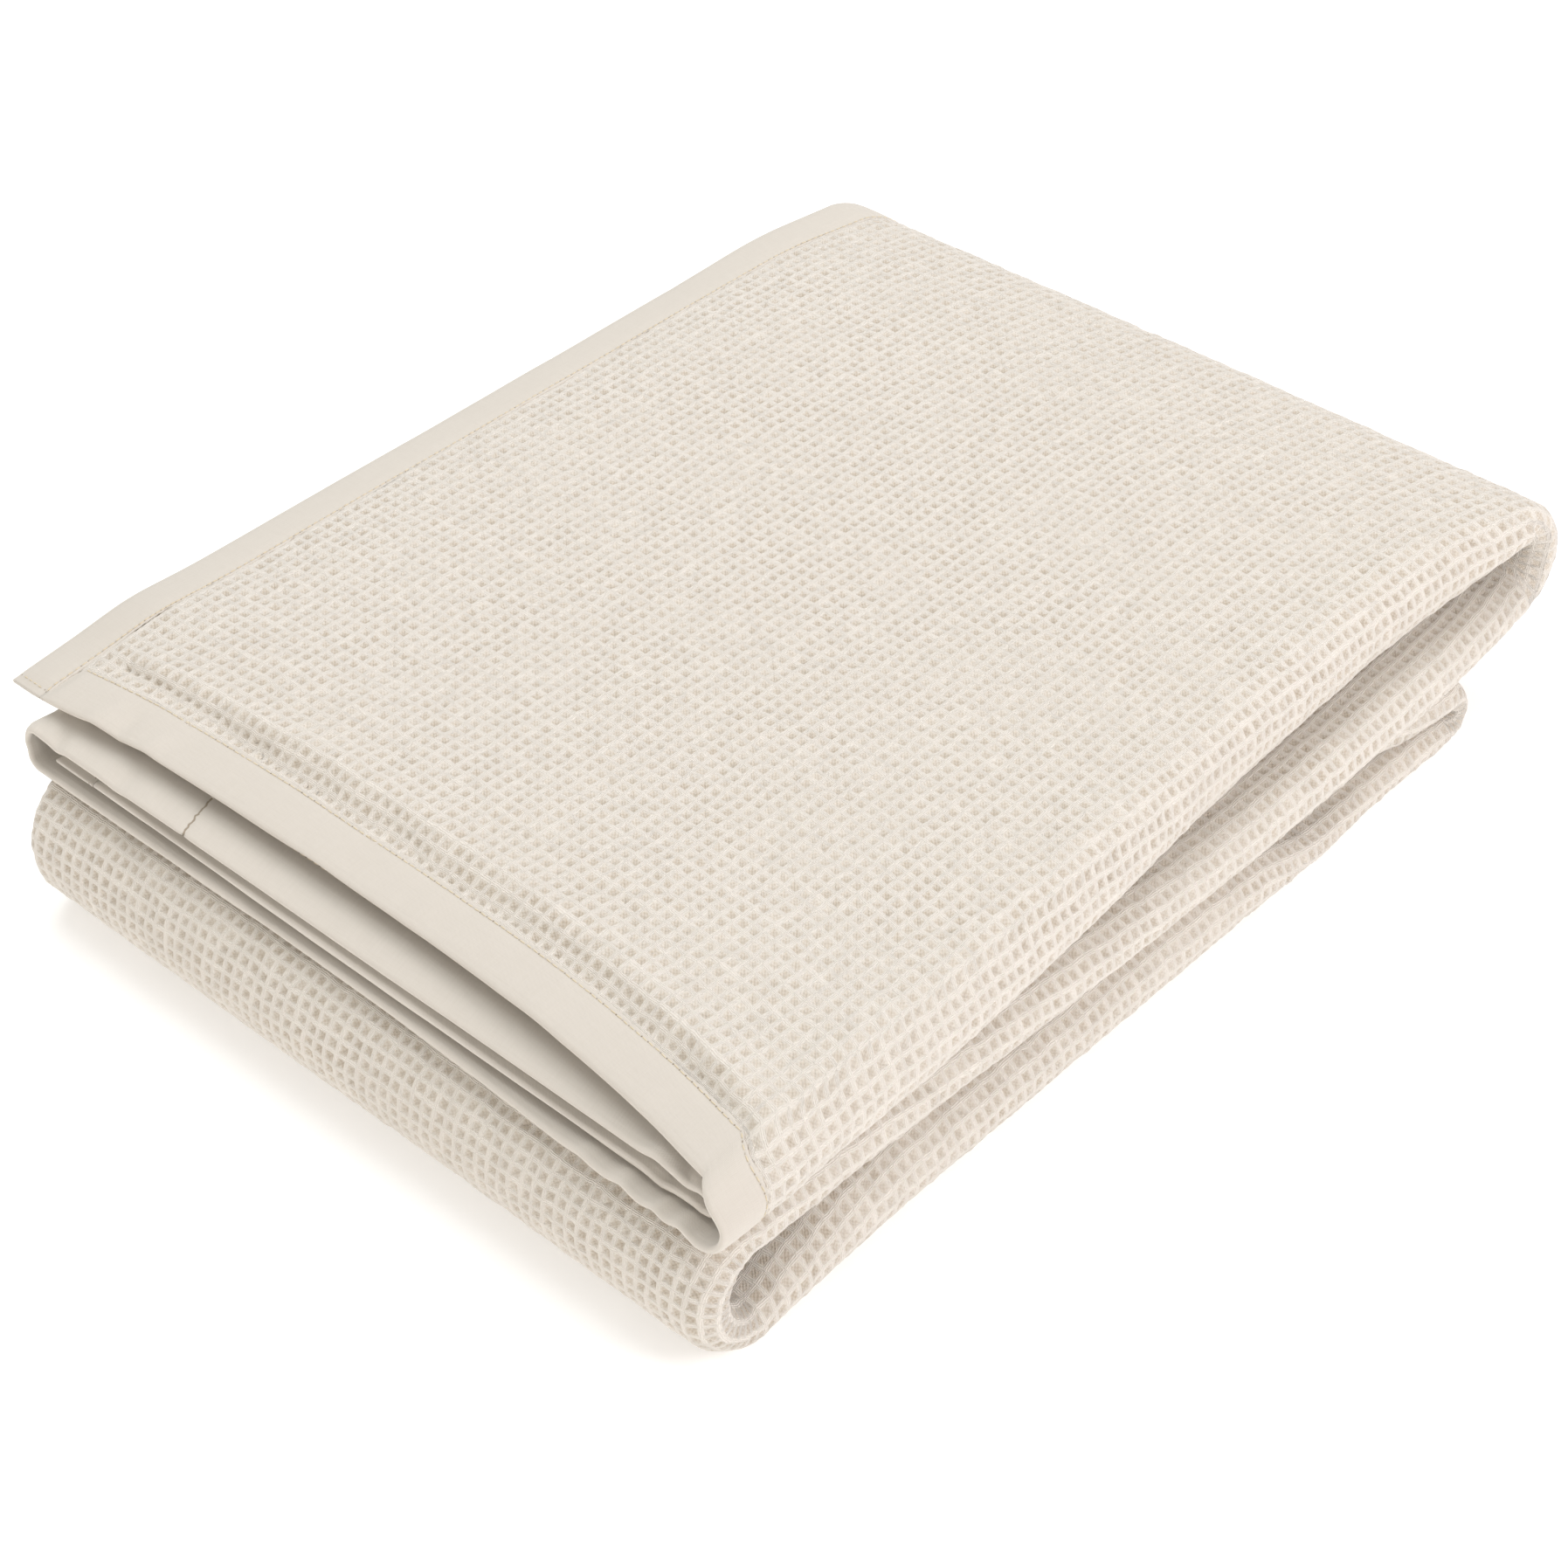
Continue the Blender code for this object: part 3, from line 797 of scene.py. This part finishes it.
# The bunched inner side of a turn: its cells along and across, and the share of its cells
# that show along it, as the cloth gathers there instead of shrinking.
gathered = (
    (startOf["far"], startOf["middle"], 67, 70, 0.62),
    (startOf["far"], startOf["middle"], 70, 100, 0.4),
    (startOf["small"], startOf["tuck"], 56, 66, 0.45),
)
gatheredBump = 0.25   # their share of the bump that draws the cells


def coarseLines():
    along = {coarse["beside"], alongCells - coarse["beside"]}
    for name, count in stretches.items():
        along.update(range(startOf[name], startOf[name] + count, coarse["alongStep"][name]))
    across = {coarse["beside"], weave["acrossCells"] - coarse["beside"]}
    for start, finish, step in coarse["acrossBands"]:
        across.update(range(start, finish, step))
    for a0, a1, b0, b1 in shownFields:
        along.update((a0, a1))
        across.update((b0, b1))
    return withinCutEdges(along, alongCells), withinCutEdges(across, weave["acrossCells"])


# The mesh lines that are left between the cloth's two cut edges, as sample numbers.
def withinCutEdges(lines, count):
    first = weave["cutEdge"]
    last = count - weave["cutEdge"]
    kept = {line for line in lines if first < line < last}
    return np.array(sorted(kept | {first, last})) * perCell


def sampleCells(count):
    cells = np.arange(count)[:, None] + np.array(weave["samples"])[None, :]
    return np.append(cells.ravel(), count)


def gatheredShare(a, b):
    for a0, a1, b0, b1, share in gathered:
        if a0 <= a < a1 and b0 <= b < b1:
            return share
    return 1.0


# How much of full thickness the cloth has at a number of cells from an edge.
def swellShare(cells):
    return softRise((cells * weave["cell"] - weave["swellFrom"]) / weave["swell"])


# Spaces the points of the top run evenly along its lifted face, column by column.
def evenedOut(points, along):
    rows = np.searchsorted(along, startOf["far"]) + 1
    evened = points.copy()
    for column in range(points.shape[1]):
        line = points[:rows, column]
        length = np.concatenate(([0.0], np.cumsum(np.linalg.norm(np.diff(line, axis=0), axis=1))))
        wanted = along[:rows] / along[rows - 1] * length[-1]
        for axis in range(3):
            evened[:rows, column, axis] = np.interp(wanted, length, line[:, axis])
    return evened


# How far the cloth stands out of its folds near the end binding.
def puffHeight(a, b):
    shape = puffShape
    x = a * weave["cell"]
    away = x - binding["width"]
    start, reach, rise = (smoothColumn(endPuff, puffColumns, name, b) for name in puffColumns[1:])
    rim = runValue(topRun, "high", binding["width"])
    crest = runValue(topRun, "high", shape["crestAt"]) + rise
    wanted = rim + (crest - rim) * softRise((away - start) / (reach - start))
    lift = (wanted - runValue(topRun, "high", x)) * (1 - softRise((away - reach) / shape["fade"]))
    trough = shape["trough"] * np.exp(-((away - shape["troughAt"]) / shape["troughWide"]) ** 2)
    height = (lift - trough) * (1 + shape["uneven"] * softNoise(a, b, "endPuff"))
    onTop = np.clip((startOf["far"] - a) / shape["farFade"], 0, 1)
    onTop = onTop * np.clip((shape["loopEnd"] - b) / shape["loopFade"], 0, 1)
    fromSide = softRise((b - shape["sideFrom"]) / shape["sideFade"])
    return np.where(away > 0, height, 0.0) * onTop * fromSide


# Height of the face over the middle of the cloth: ridges, pits and soft rise where it is
# shown, level elsewhere.
def faceHeight(a, b, alongWay, acrossWay, shown):
    i, j = (place % perCell == perCell - 1 for place in np.indices(a.shape))
    pitchA = np.linalg.norm(alongWay, axis=-1) / weave["cell"]
    pitchB = np.linalg.norm(acrossWay, axis=-1) / weave["cell"]
    crowded = np.clip(np.minimum(pitchA, pitchB) * weave["crowding"], weave["crowdLeast"], 1.0)
    varied = 1 + weave["reliefVaries"] * softNoise(a, b, "relief")
    depth = weave["relief"] * varied * (i & j) + weave["sag"] * (i ^ j)
    raised = packet["cloth"] / 2 - depth * crowded
    raised += weave["puff"] * softNoise(a, b, "facePuff")
    raised += weave["uneven"] * softNoise(a, b, "faceUneven")
    level = packet["cloth"] / 2 - weave["hiddenLevel"] * weave["relief"]
    return np.where(shown, np.maximum(raised, -weave["deepest"]), level)


# The cloth's faces: every sample in the shown fields, coarse lines elsewhere and on the
# inner side, and closed cut edges. With them, the samples that they use on the face and
# the share of the cells that shows along each of them.
def clothFaces(shown, coarseAlong, coarseAcross):
    coarseGrid = np.ix_(coarseAlong, coarseAcross)
    used = shown.copy()
    used[coarseGrid] = True
    numbers = np.full(shown.shape, -1)
    numbers[used] = np.arange(used.sum())
    i, j = (place % perCell for place in np.indices(shown.shape))
    turned = i + j == perCell   # these split the other way, into the pit
    inField = np.zeros(shown.shape, dtype=bool)
    faces = []
    for field in shownFields:
        r0, r1, c0, c1 = (cell * perCell for cell in field)
        inField[r0:r1, c0:c1] = True
        block = numbers[r0:r1 + 1, c0:c1 + 1]
        quads = np.stack([block[:-1, :-1], block[:-1, 1:], block[1:, 1:], block[1:, :-1]], axis=-1)
        split = turned[r0:r1, c0:c1]
        quads[split] = np.roll(quads[split], 1, axis=-1)
        faces += quads.reshape(-1, 4).tolist()
    alongShares = [1.0] * len(faces)

    front = numbers[coarseGrid]
    back = np.arange(front.size).reshape(front.shape) + used.sum()
    rings = []
    for m, (r0, r1) in enumerate(zip(coarseAlong[:-1], coarseAlong[1:])):
        for n, (c0, c1) in enumerate(zip(coarseAcross[:-1], coarseAcross[1:])):
            rings.append([back[m, n], back[m + 1, n], back[m + 1, n + 1], back[m, n + 1]])
            alongShares.append(1.0)
            if not inField[r0, c0]:
                ring = list(numbers[r0, c0:c1]) + list(numbers[r0:r1, c1])
                rings.append(ring + list(numbers[r1, c1:c0:-1]) + list(numbers[r1:r0:-1, c0]))
                alongShares.append(gatheredShare(r0 / perCell, c0 / perCell))
    for m in range(len(coarseAlong) - 1):
        for n, step in ((0, 1), (-1, -1)):
            rings.append([front[m, n], front[m + 1, n], back[m + 1, n], back[m, n]][::step])
    for n in range(len(coarseAcross) - 1):
        for m, step in ((0, -1), (-1, 1)):
            rings.append([front[m, n], front[m, n + 1], back[m, n + 1], back[m, n]][::step])
    faces += [[int(number) for number in ring if number >= 0] for ring in rings]
    alongShares += [1.0] * (len(faces) - len(alongShares))
    return used, faces, alongShares


def makeWaffleCloth(material):
    along = sampleCells(alongCells)
    across = sampleCells(weave["acrossCells"])
    a, b = np.meshgrid(along, across, indexing="ij")
    full = swellShare(np.minimum(a, alongCells - a)) * swellShare(np.minimum(b, weave["acrossCells"] - b))
    points, outWay = creasedSheet(along, across)
    points = evenedOut(points + outWay * puffHeight(a, b)[..., None], along)
    alongWay, acrossWay, outWay = sheetWays(points, along, across)
    shown = np.zeros(a.shape, dtype=bool)
    for field in shownFields:
        r0, r1, c0, c1 = (cell * perCell for cell in field)
        shown[r0:r1 + 1, c0:c1 + 1] = True

    # the ridges wander along the face
    drift = weave["drift"]
    shiver = weave["shiver"]
    pressed = weave["pressed"]
    moveA = drift * softNoise(a, b, "driftAlong") + shiver * softNoise(a, b, "shiverAlong")
    moveB = drift * softNoise(a, b, "driftAcross") + shiver * softNoise(a, b, "shiverAcross")
    moved = points + (alongWay * moveA[..., None] + acrossWay * moveB[..., None]) * full[..., None]
    raised = faceHeight(a, b, alongWay, acrossWay, shown)
    outer = moved + outWay * (pressed + (raised - pressed) * full)[..., None]
    fromTrough = (a * weave["cell"] - weave["underAt"]) / weave["underWide"]
    beside = weave["under"] * np.exp(-fromTrough ** 2)
    below = pressed + (weave["inside"] - pressed) * full + beside * full
    inner = points - outWay * below[..., None]

    coarseAlong, coarseAcross = coarseLines()
    used, faces, alongShares = clothFaces(shown, coarseAlong, coarseAcross)
    pick = np.ix_(coarseAlong, coarseAcross)
    flat = np.stack([a, b], axis=-1)
    allPoints = np.concatenate([outer[used], inner[pick].reshape(-1, 3)])
    allFlat = np.concatenate([flat[used], flat[pick].reshape(-1, 2)])
    drawn = 1.0 - shown
    for a0, a1, b0, b1, share in gathered:
        drawn[(a >= a0) & (a <= a1) & (b >= b0) & (b <= b1)] *= gatheredBump
    plain = np.concatenate([drawn[used], np.ones(a[pick].size)])
    piece = makePiece("waffle_cloth", allPoints, faces, allFlat, material, plain,
                      alongShares)
    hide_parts("waffle_panel")
    print("waffle cloth made,", sum(len(face) - 2 for face in faces), "triangles")
    return piece


binding = {
    "width": 17.0,
    "outer": 1.25,         # half thickness over both walls
    "wall": 0.5,
    "wallMost": 0.9,       # most of the half thickness that a wall takes up
    "innerFold": 0.35,     # where the inner walls meet, inside the folded edge
    "step": 0.5,           # mesh steps along a strip, in cells
    "sideStep": 1 / 6,     # and where it shows
    "endStep": 0.25,
    "endFrom": 3.7,        # an end binding's ends inside the side bindings, in cells
    "stitchIn": 1.1,       # stitch line's distance from the rim
    "furrow": 1.1,         # width of the furrow along it
    "pitch": 2.7,          # stitch pitch
    "sidePucker": 0.22,    # how deep the stitches pull the walls in
    "endPucker": 0.24,
    "puckerEven": 0.55,    # how much of that lies between stitches too
    "puckerVaries": 0.4,
    "rimSlow": 0.35,       # how far the rim wobbles
    "rimQuick": 0.25,
    "sideLift": 0.12,      # how far the walls stand out here and there
    "endLift": 0.28,
    "endRipple": 0.09,
    "cornerLift": 0.08,    # and near a side binding's end
    "cornerWide": 20.0,
    "hemIn": 3.0,          # hem stitches' distance from that end
    "shutWide": 7.0,       # length over which it is sewn shut
    "sideShut": 0.95,
    "underWide": 4.0,      # length over which the end binding goes under it
    "endShut": 0.85,
    "seamAt": 697.0,       # where two lengths of the end binding are joined
    "seamWide": 1.2,
    "seamDeep": 0.35,
}

# Cross-section of a binding: distance from the folded edge, and offset out of the cloth
# as a share of the half thickness; from one rim to the folded edge.
bindingArm = ((17.0, 0.70), (16.6, 0.92), (15.9, 0.84), (15.0, 0.98), (11.0, 1.08), (7.0, 1.10),
              (3.6, 1.08), (2.6, 1.06), (2.0, 0.94), (1.4, 0.97), (0.8, 0.83), (0.35, 0.60),
              (0.1, 0.36))
armDistances, armShares = (np.array(values) for values in zip(*bindingArm))


# Makes the closed strip of a binding. points and outWay are grids [place along the
# strip, distance from the folded edge]; lift, pucker and shut go by place along it.
def makeBindingStrip(name, points, outWay, lengths, material, forward, lift, pucker, shut):
    half = binding["outer"] * armShares
    wall = np.minimum(binding["wall"], half * binding["wallMost"])
    gap = half - wall
    opened = (1.0 - shut)[:, None]
    lift = lift[:, None] * opened
    fromStitch = binding["width"] - binding["stitchIn"] - armDistances
    dent = pucker[:, None] * np.exp(-(fromStitch / binding["furrow"]) ** 2)
    outerWall = wall + gap * opened + lift - dent
    innerWall = gap * opened + lift - dent * opened
    wobble = binding["rimSlow"] * alongNoise(lengths, "rimSlow")
    wobble += binding["rimQuick"] * alongNoise(lengths, "rimQuick")
    inward = unitVectors(points[:, 0] - points[:, 1])
    points = points.copy()
    points[:, 0] += inward * wobble[:, None]
    outline = []
    for side in (1.0, -1.0):
        arm = points + side * outWay * outerWall[..., None]
        outline.append(arm if side > 0 else arm[:, ::-1])
    for side in (-1.0, 1.0):
        arm = points + side * outWay * innerWall[..., None]
        arm[:, -1] += (points[:, -3] - points[:, -1]) * binding["innerFold"]
        outline.append(arm if side < 0 else arm[:, ::-1])
    body = np.concatenate(outline, axis=1)
    rows, width = body.shape[:2]
    faces = []
    for m in range(rows - 1):
        for k in range(width):
            n = (k + 1) % width
            ring = [m * width + k, m * width + n, (m + 1) * width + n, (m + 1) * width + k]
            faces.append(ring if forward else ring[::-1])
    for m, turned in ((0, forward), (rows - 1, not forward)):
        first = m * width
        last = first + width - 1
        for k in range(width // 2 - 1):
            ring = [first + k, first + k + 1, last - 1 - k, last - k]
            faces.append(ring[::-1] if turned else ring)
    across = np.concatenate([armDistances, -armDistances[::-1], -armDistances, armDistances[::-1]])
    flat = np.stack(np.broadcast_arrays(lengths[:, None], across), axis=-1)
    return makePiece(name, body.reshape(-1, 3), faces, flat.reshape(-1, 2), material)


def puckerAt(lengths, name):
    even = binding["puckerEven"]
    wave = 0.5 + 0.5 * np.cos(2 * np.pi * lengths / binding["pitch"])
    varied = 1 + binding["puckerVaries"] * alongNoise(lengths, name)
    return binding[name] * (even + (1 - even) * wave) * varied


# How far the walls of a side binding and of an end binding stand out, along the strip.
def sideLift(lengths):
    corner = binding["cornerLift"] * softRise(1 - lengths / binding["cornerWide"])
    return binding["sideLift"] * alongNoise(lengths, "sideLift") + corner


def endLift(lengths):
    seam = np.exp(-((lengths - binding["seamAt"]) / binding["seamWide"]) ** 2)
    lift = binding["endLift"] * alongNoise(lengths, "endLift")
    return lift + binding["endRipple"] * alongNoise(lengths, "endRipple") - binding["seamDeep"] * seam


# How far a side binding is sewn shut, from its end on, and an end binding where it goes
# under the side binding.
def sideShut(lengths):
    return binding["sideShut"] * softRise(1 - lengths / binding["shutWide"])


def endShut(lengths):
    return binding["endShut"] * softRise(1 - (lengths - binding["width"]) / binding["underWide"])


def makeSideBinding(name, node, last, material, fineUntil):
    along = np.concatenate([np.arange(0, fineUntil, binding["sideStep"]),
                            np.arange(fineUntil, alongCells, binding["step"]), [alongCells]])
    if last:
        points, outWay = foldedSheet(along, -armDistances, stripLength)
    else:
        points, outWay = foldedSheet(along, armDistances[::-1], stripLength)
        points = points[:, ::-1]
        outWay = outWay[:, ::-1]
    lengths = along * weave["cell"]
    piece = makeBindingStrip(name, points, outWay, lengths, material, not last, sideLift(lengths),
                             puckerAt(lengths, "sidePucker"), sideShut(lengths))
    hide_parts(node)
    return piece


def makeEndBinding(name, node, last, material, fineBands):
    across = [np.arange(binding["endFrom"], weave["acrossCells"] - binding["endFrom"], binding["step"])]
    for first, finish in fineBands:
        across.append(np.arange(first, finish, binding["endStep"]))
    across = np.unique(np.round(np.concatenate(across), 3))
    reach = armDistances / weave["cell"]
    if last:
        points, outWay = foldedSheet(alongCells - reach, across)
    else:
        points, outWay = creasedSheet(reach[::-1], across)
        points = points[::-1]
        outWay = outWay[::-1]
    lengths = across * weave["cell"]
    piece = makeBindingStrip(name, points.transpose(1, 0, 2), outWay.transpose(1, 0, 2), lengths,
                             material, last, endLift(lengths), puckerAt(lengths, "endPucker"),
                             endShut(lengths))
    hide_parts(node)
    return piece


stitchShape = {
    "length": 2.05,
    "width": 0.50,
    "height": 0.42,
    "round": (8, 6),
    "reach": 0.8,                # the line's direction is taken over this much of it
    "turned": 0.10,              # how far stitches turn, shift and differ in length
    "shifted": 0.08,
    "longer": (0.9, 1.06),
    "sunk": 0.02,                # how deep they lie in the binding's furrow
}
stitchRows = {
    "step": 0.25,                # steps along the rows, in cells
    "sideFrom": 0.6,
    "endSpan": (4.2, 250),
    "hemFrom": 0.8,
    "hemStep": 0.5,
    "hemProud": 0.08,
}


def modelStitch():
    segments, rings = stitchShape["round"]
    bpy.ops.object.select_all(action="DESELECT")
    bpy.ops.mesh.primitive_uv_sphere_add(segments=segments, ring_count=rings, radius=0.5)
    stitch = bpy.context.object
    bpy.ops.object.mode_set(mode="EDIT")
    bpy.ops.mesh.select_all(action="SELECT")
    bpy.ops.transform.rotate(value=math.pi / 2, orient_axis="Y", center_override=(0, 0, 0))
    bpy.ops.transform.resize(value=(stitchShape["length"], stitchShape["width"], stitchShape["height"]))
    bpy.ops.object.mode_set(mode="OBJECT")
    vertices = np.array([tuple(vertex.co) for vertex in stitch.data.vertices])
    faces = [list(face.vertices) for face in stitch.data.polygons]
    bpy.data.objects.remove(stitch, do_unlink=True)
    return vertices, faces


# A row of stitches along a line that lies on the face, at an even pitch.
def makeStitchRow(name, line, outWay, length, material, seed):
    shape, shapeFaces = modelStitch()
    pitch = binding["pitch"]
    middles = np.arange((math.ceil(length[0] / pitch) + 0.5) * pitch, length[-1] - 1, pitch)
    draw = np.random.default_rng(seed)
    points = []
    faces = []
    for middle in middles:
        ends = [np.array([np.interp(middle + off, length, line[:, axis]) for axis in range(3)])
                for off in (-stitchShape["reach"], stitchShape["reach"])]
        up = unitVectors(np.array([np.interp(middle, length, outWay[:, axis]) for axis in range(3)]))
        ahead = unitVectors(ends[1] - ends[0])
        side = unitVectors(np.cross(up, ahead))
        up = np.cross(ahead, side)
        ahead = unitVectors(ahead + side * draw.uniform(-stitchShape["turned"], stitchShape["turned"]))
        shift = draw.uniform(-stitchShape["shifted"], stitchShape["shifted"])
        centre = (ends[0] + ends[1]) / 2 + side * shift
        long = draw.uniform(*stitchShape["longer"])
        first = len(points) * len(shape)
        points.append(centre + shape[:, :1] * ahead * long + shape[:, 1:2] * side + shape[:, 2:] * up)
        faces += [[first + number for number in face] for face in shapeFaces]
    points = np.concatenate(points)
    return makePiece(name, points, faces, points[:, :2], material)


stitchFrom = binding["width"] - binding["stitchIn"]
besideLine = np.array([-1, 0, 1])


# How far out a place on a binding's wall lies, and with it the row of stitches in the
# furrow.
def wallRise(height, lift, shut):
    return binding["wall"] + (height - binding["wall"] + lift) * (1.0 - shut)


def furrowRise(lift, shut):
    share = np.interp(stitchFrom, armDistances[::-1], armShares[::-1])
    return wallRise(binding["outer"] * share - stitchShape["sunk"], lift, shut)


def stitchLineA():
    along = np.arange(stitchRows["sideFrom"], startOf["middle"], stitchRows["step"])
    points, outWay = foldedSheet(along, stitchFrom + besideLine, stripLength)
    lengths = along * weave["cell"]
    rise = furrowRise(sideLift(lengths), sideShut(lengths))
    return points[:, 1] + outWay[:, 1] * rise[:, None], outWay[:, 1], lengths


def stitchLineB():
    across = np.arange(*stitchRows["endSpan"], stitchRows["step"])
    points, outWay = creasedSheet((stitchFrom + besideLine) / weave["cell"], across)
    lengths = across * weave["cell"]
    rise = furrowRise(endLift(lengths), endShut(lengths))
    return points[1] + outWay[1] * rise[:, None], outWay[1], lengths


# The short hem row across the side binding's end.
def stitchLineHem():
    across = np.arange(stitchRows["hemFrom"], stitchFrom, stitchRows["hemStep"])
    points, outWay = foldedSheet((binding["hemIn"] + besideLine) / weave["cell"], across, stripLength)
    hem = np.full(1, binding["hemIn"])
    height = binding["outer"] * np.interp(across, armDistances[::-1], armShares[::-1])
    rise = wallRise(height, sideLift(hem), sideShut(hem)) + stitchRows["hemProud"]
    return points[1] + outWay[1] * rise[:, None], outWay[1], across


waffleCotton = makeWaffle()
plainCotton = makePlain()
sewingThread = makeThread()

waffleCloth = makeWaffleCloth(waffleCotton)
sideBindingA = makeSideBinding("side_binding_cloth_a", "side_binding_a", False, plainCotton,
                               startOf["middle"])
sideBindingC = makeSideBinding("side_binding_cloth_c", "side_binding_c", True, plainCotton, 1)
endBindingB = makeEndBinding("end_binding_cloth_b", "end_binding_b", False, plainCotton,
                             ((binding["endFrom"], 90), (134, 205)))
endBindingD = makeEndBinding("end_binding_cloth_d", "end_binding_d", True, plainCotton, ())
print("bindings made")

stitchesA = makeStitchRow("stitches_a", *stitchLineA(), sewingThread, 31)
stitchesB = makeStitchRow("stitches_b", *stitchLineB(), sewingThread, 32)
stitchesHem = makeStitchRow("stitches_hem", *stitchLineHem(), sewingThread, 33)
print("stitches made")

stripWidth = 2 * binding["width"] * 0.001

studio = {
    "floorSize": 12.0,
    "floorDrop": 0.0004,
    "floorGlow": 0.28,
    "floor": (0.93, 0.93, 0.93),
    "floorPatch": (0.915, 0.915, 0.915),
    "floorNoise": (3.0, 2.0),
    "sky": (1.0, 0.975, 0.935),
    "skyStrength": 0.54,
}
lights = {
    "key_light": {"place": (0.5, 1.0, 2.6), "size": 2.2, "power": 43.0,
                  "colour": (0.96, 0.99, 1.0)},
    "side_light": {"place": (0.8, -2.2, 1.5), "size": 1.2, "power": 35.0,
                   "colour": (1.0, 0.945, 0.955)},
    "end_light": {"place": (-2.4, -0.3, 0.7), "size": 1.8, "power": 14.0,
                  "colour": (1.0, 0.91, 0.80)},
}
cameraView = {
    "place": (-0.5931, -0.5283, 0.6654),
    "heading": 41.96,            # degrees from X, and down from level
    "down": 40.28,
    "lens": 72.54,
    "sensor": 36.0,
    "clip": (0.01, 50.0),
}


def makeFloor():
    bpy.ops.object.select_all(action="DESELECT")
    bpy.ops.mesh.primitive_plane_add(size=studio["floorSize"], location=(0, 0, -studio["floorDrop"]))
    floor = bpy.context.object
    floor.name = "floor"
    bpy.ops.object.transform_apply(location=True, rotation=True, scale=True)
    finish = Finish("pale_floor", {"Roughness": 0.9, "Specular IOR Level": 0.1,
                                   "Emission Color": (1.0, 1.0, 1.0),
                                   "Emission Strength": studio["floorGlow"]})
    tone = finish.noise(finish.solidPlace(), *studio["floorNoise"])
    finish.show({"Base Color": finish.mix(studio["floor"], studio["floorPatch"], tone)})
    floor.data.materials.append(finish.material)


def makeLight(name, light):
    data = bpy.data.lights.new(name, "AREA")
    data.shape = "DISK"
    data.size = light["size"]
    data.energy = light["power"]
    data.color = light["colour"]
    lamp = bpy.data.objects.new(name, data)
    lamp.location = light["place"]
    lamp.rotation_mode = "QUATERNION"
    lamp.rotation_quaternion = (-Vector(light["place"])).to_track_quat("-Z", "Y")
    bpy.context.scene.collection.objects.link(lamp)


def makeStudio():
    world = bpy.data.worlds.new("studio")
    world.use_nodes = True
    background = world.node_tree.nodes["Background"]
    background.inputs["Color"].default_value = (*studio["sky"], 1.0)
    background.inputs["Strength"].default_value = studio["skyStrength"]
    bpy.context.scene.world = world
    bpy.context.scene.view_settings.view_transform = "Standard"
    makeFloor()
    for name, light in lights.items():
        makeLight(name, light)


def makeCamera():
    data = bpy.data.cameras.new("camera")
    data.lens = cameraView["lens"]
    data.sensor_width = cameraView["sensor"]
    data.clip_start, data.clip_end = cameraView["clip"]
    camera = bpy.data.objects.new("camera", data)
    heading = math.radians(cameraView["heading"])
    down = math.radians(cameraView["down"])
    level = math.cos(down)
    look = Vector((math.cos(heading) * level, math.sin(heading) * level, -math.sin(down)))
    camera.location = cameraView["place"]
    camera.rotation_mode = "QUATERNION"
    camera.rotation_quaternion = look.to_track_quat("-Z", "Y")
    bpy.context.scene.collection.objects.link(camera)
    bpy.context.scene.camera = camera


makeStudio()
makeCamera()
print("studio made")
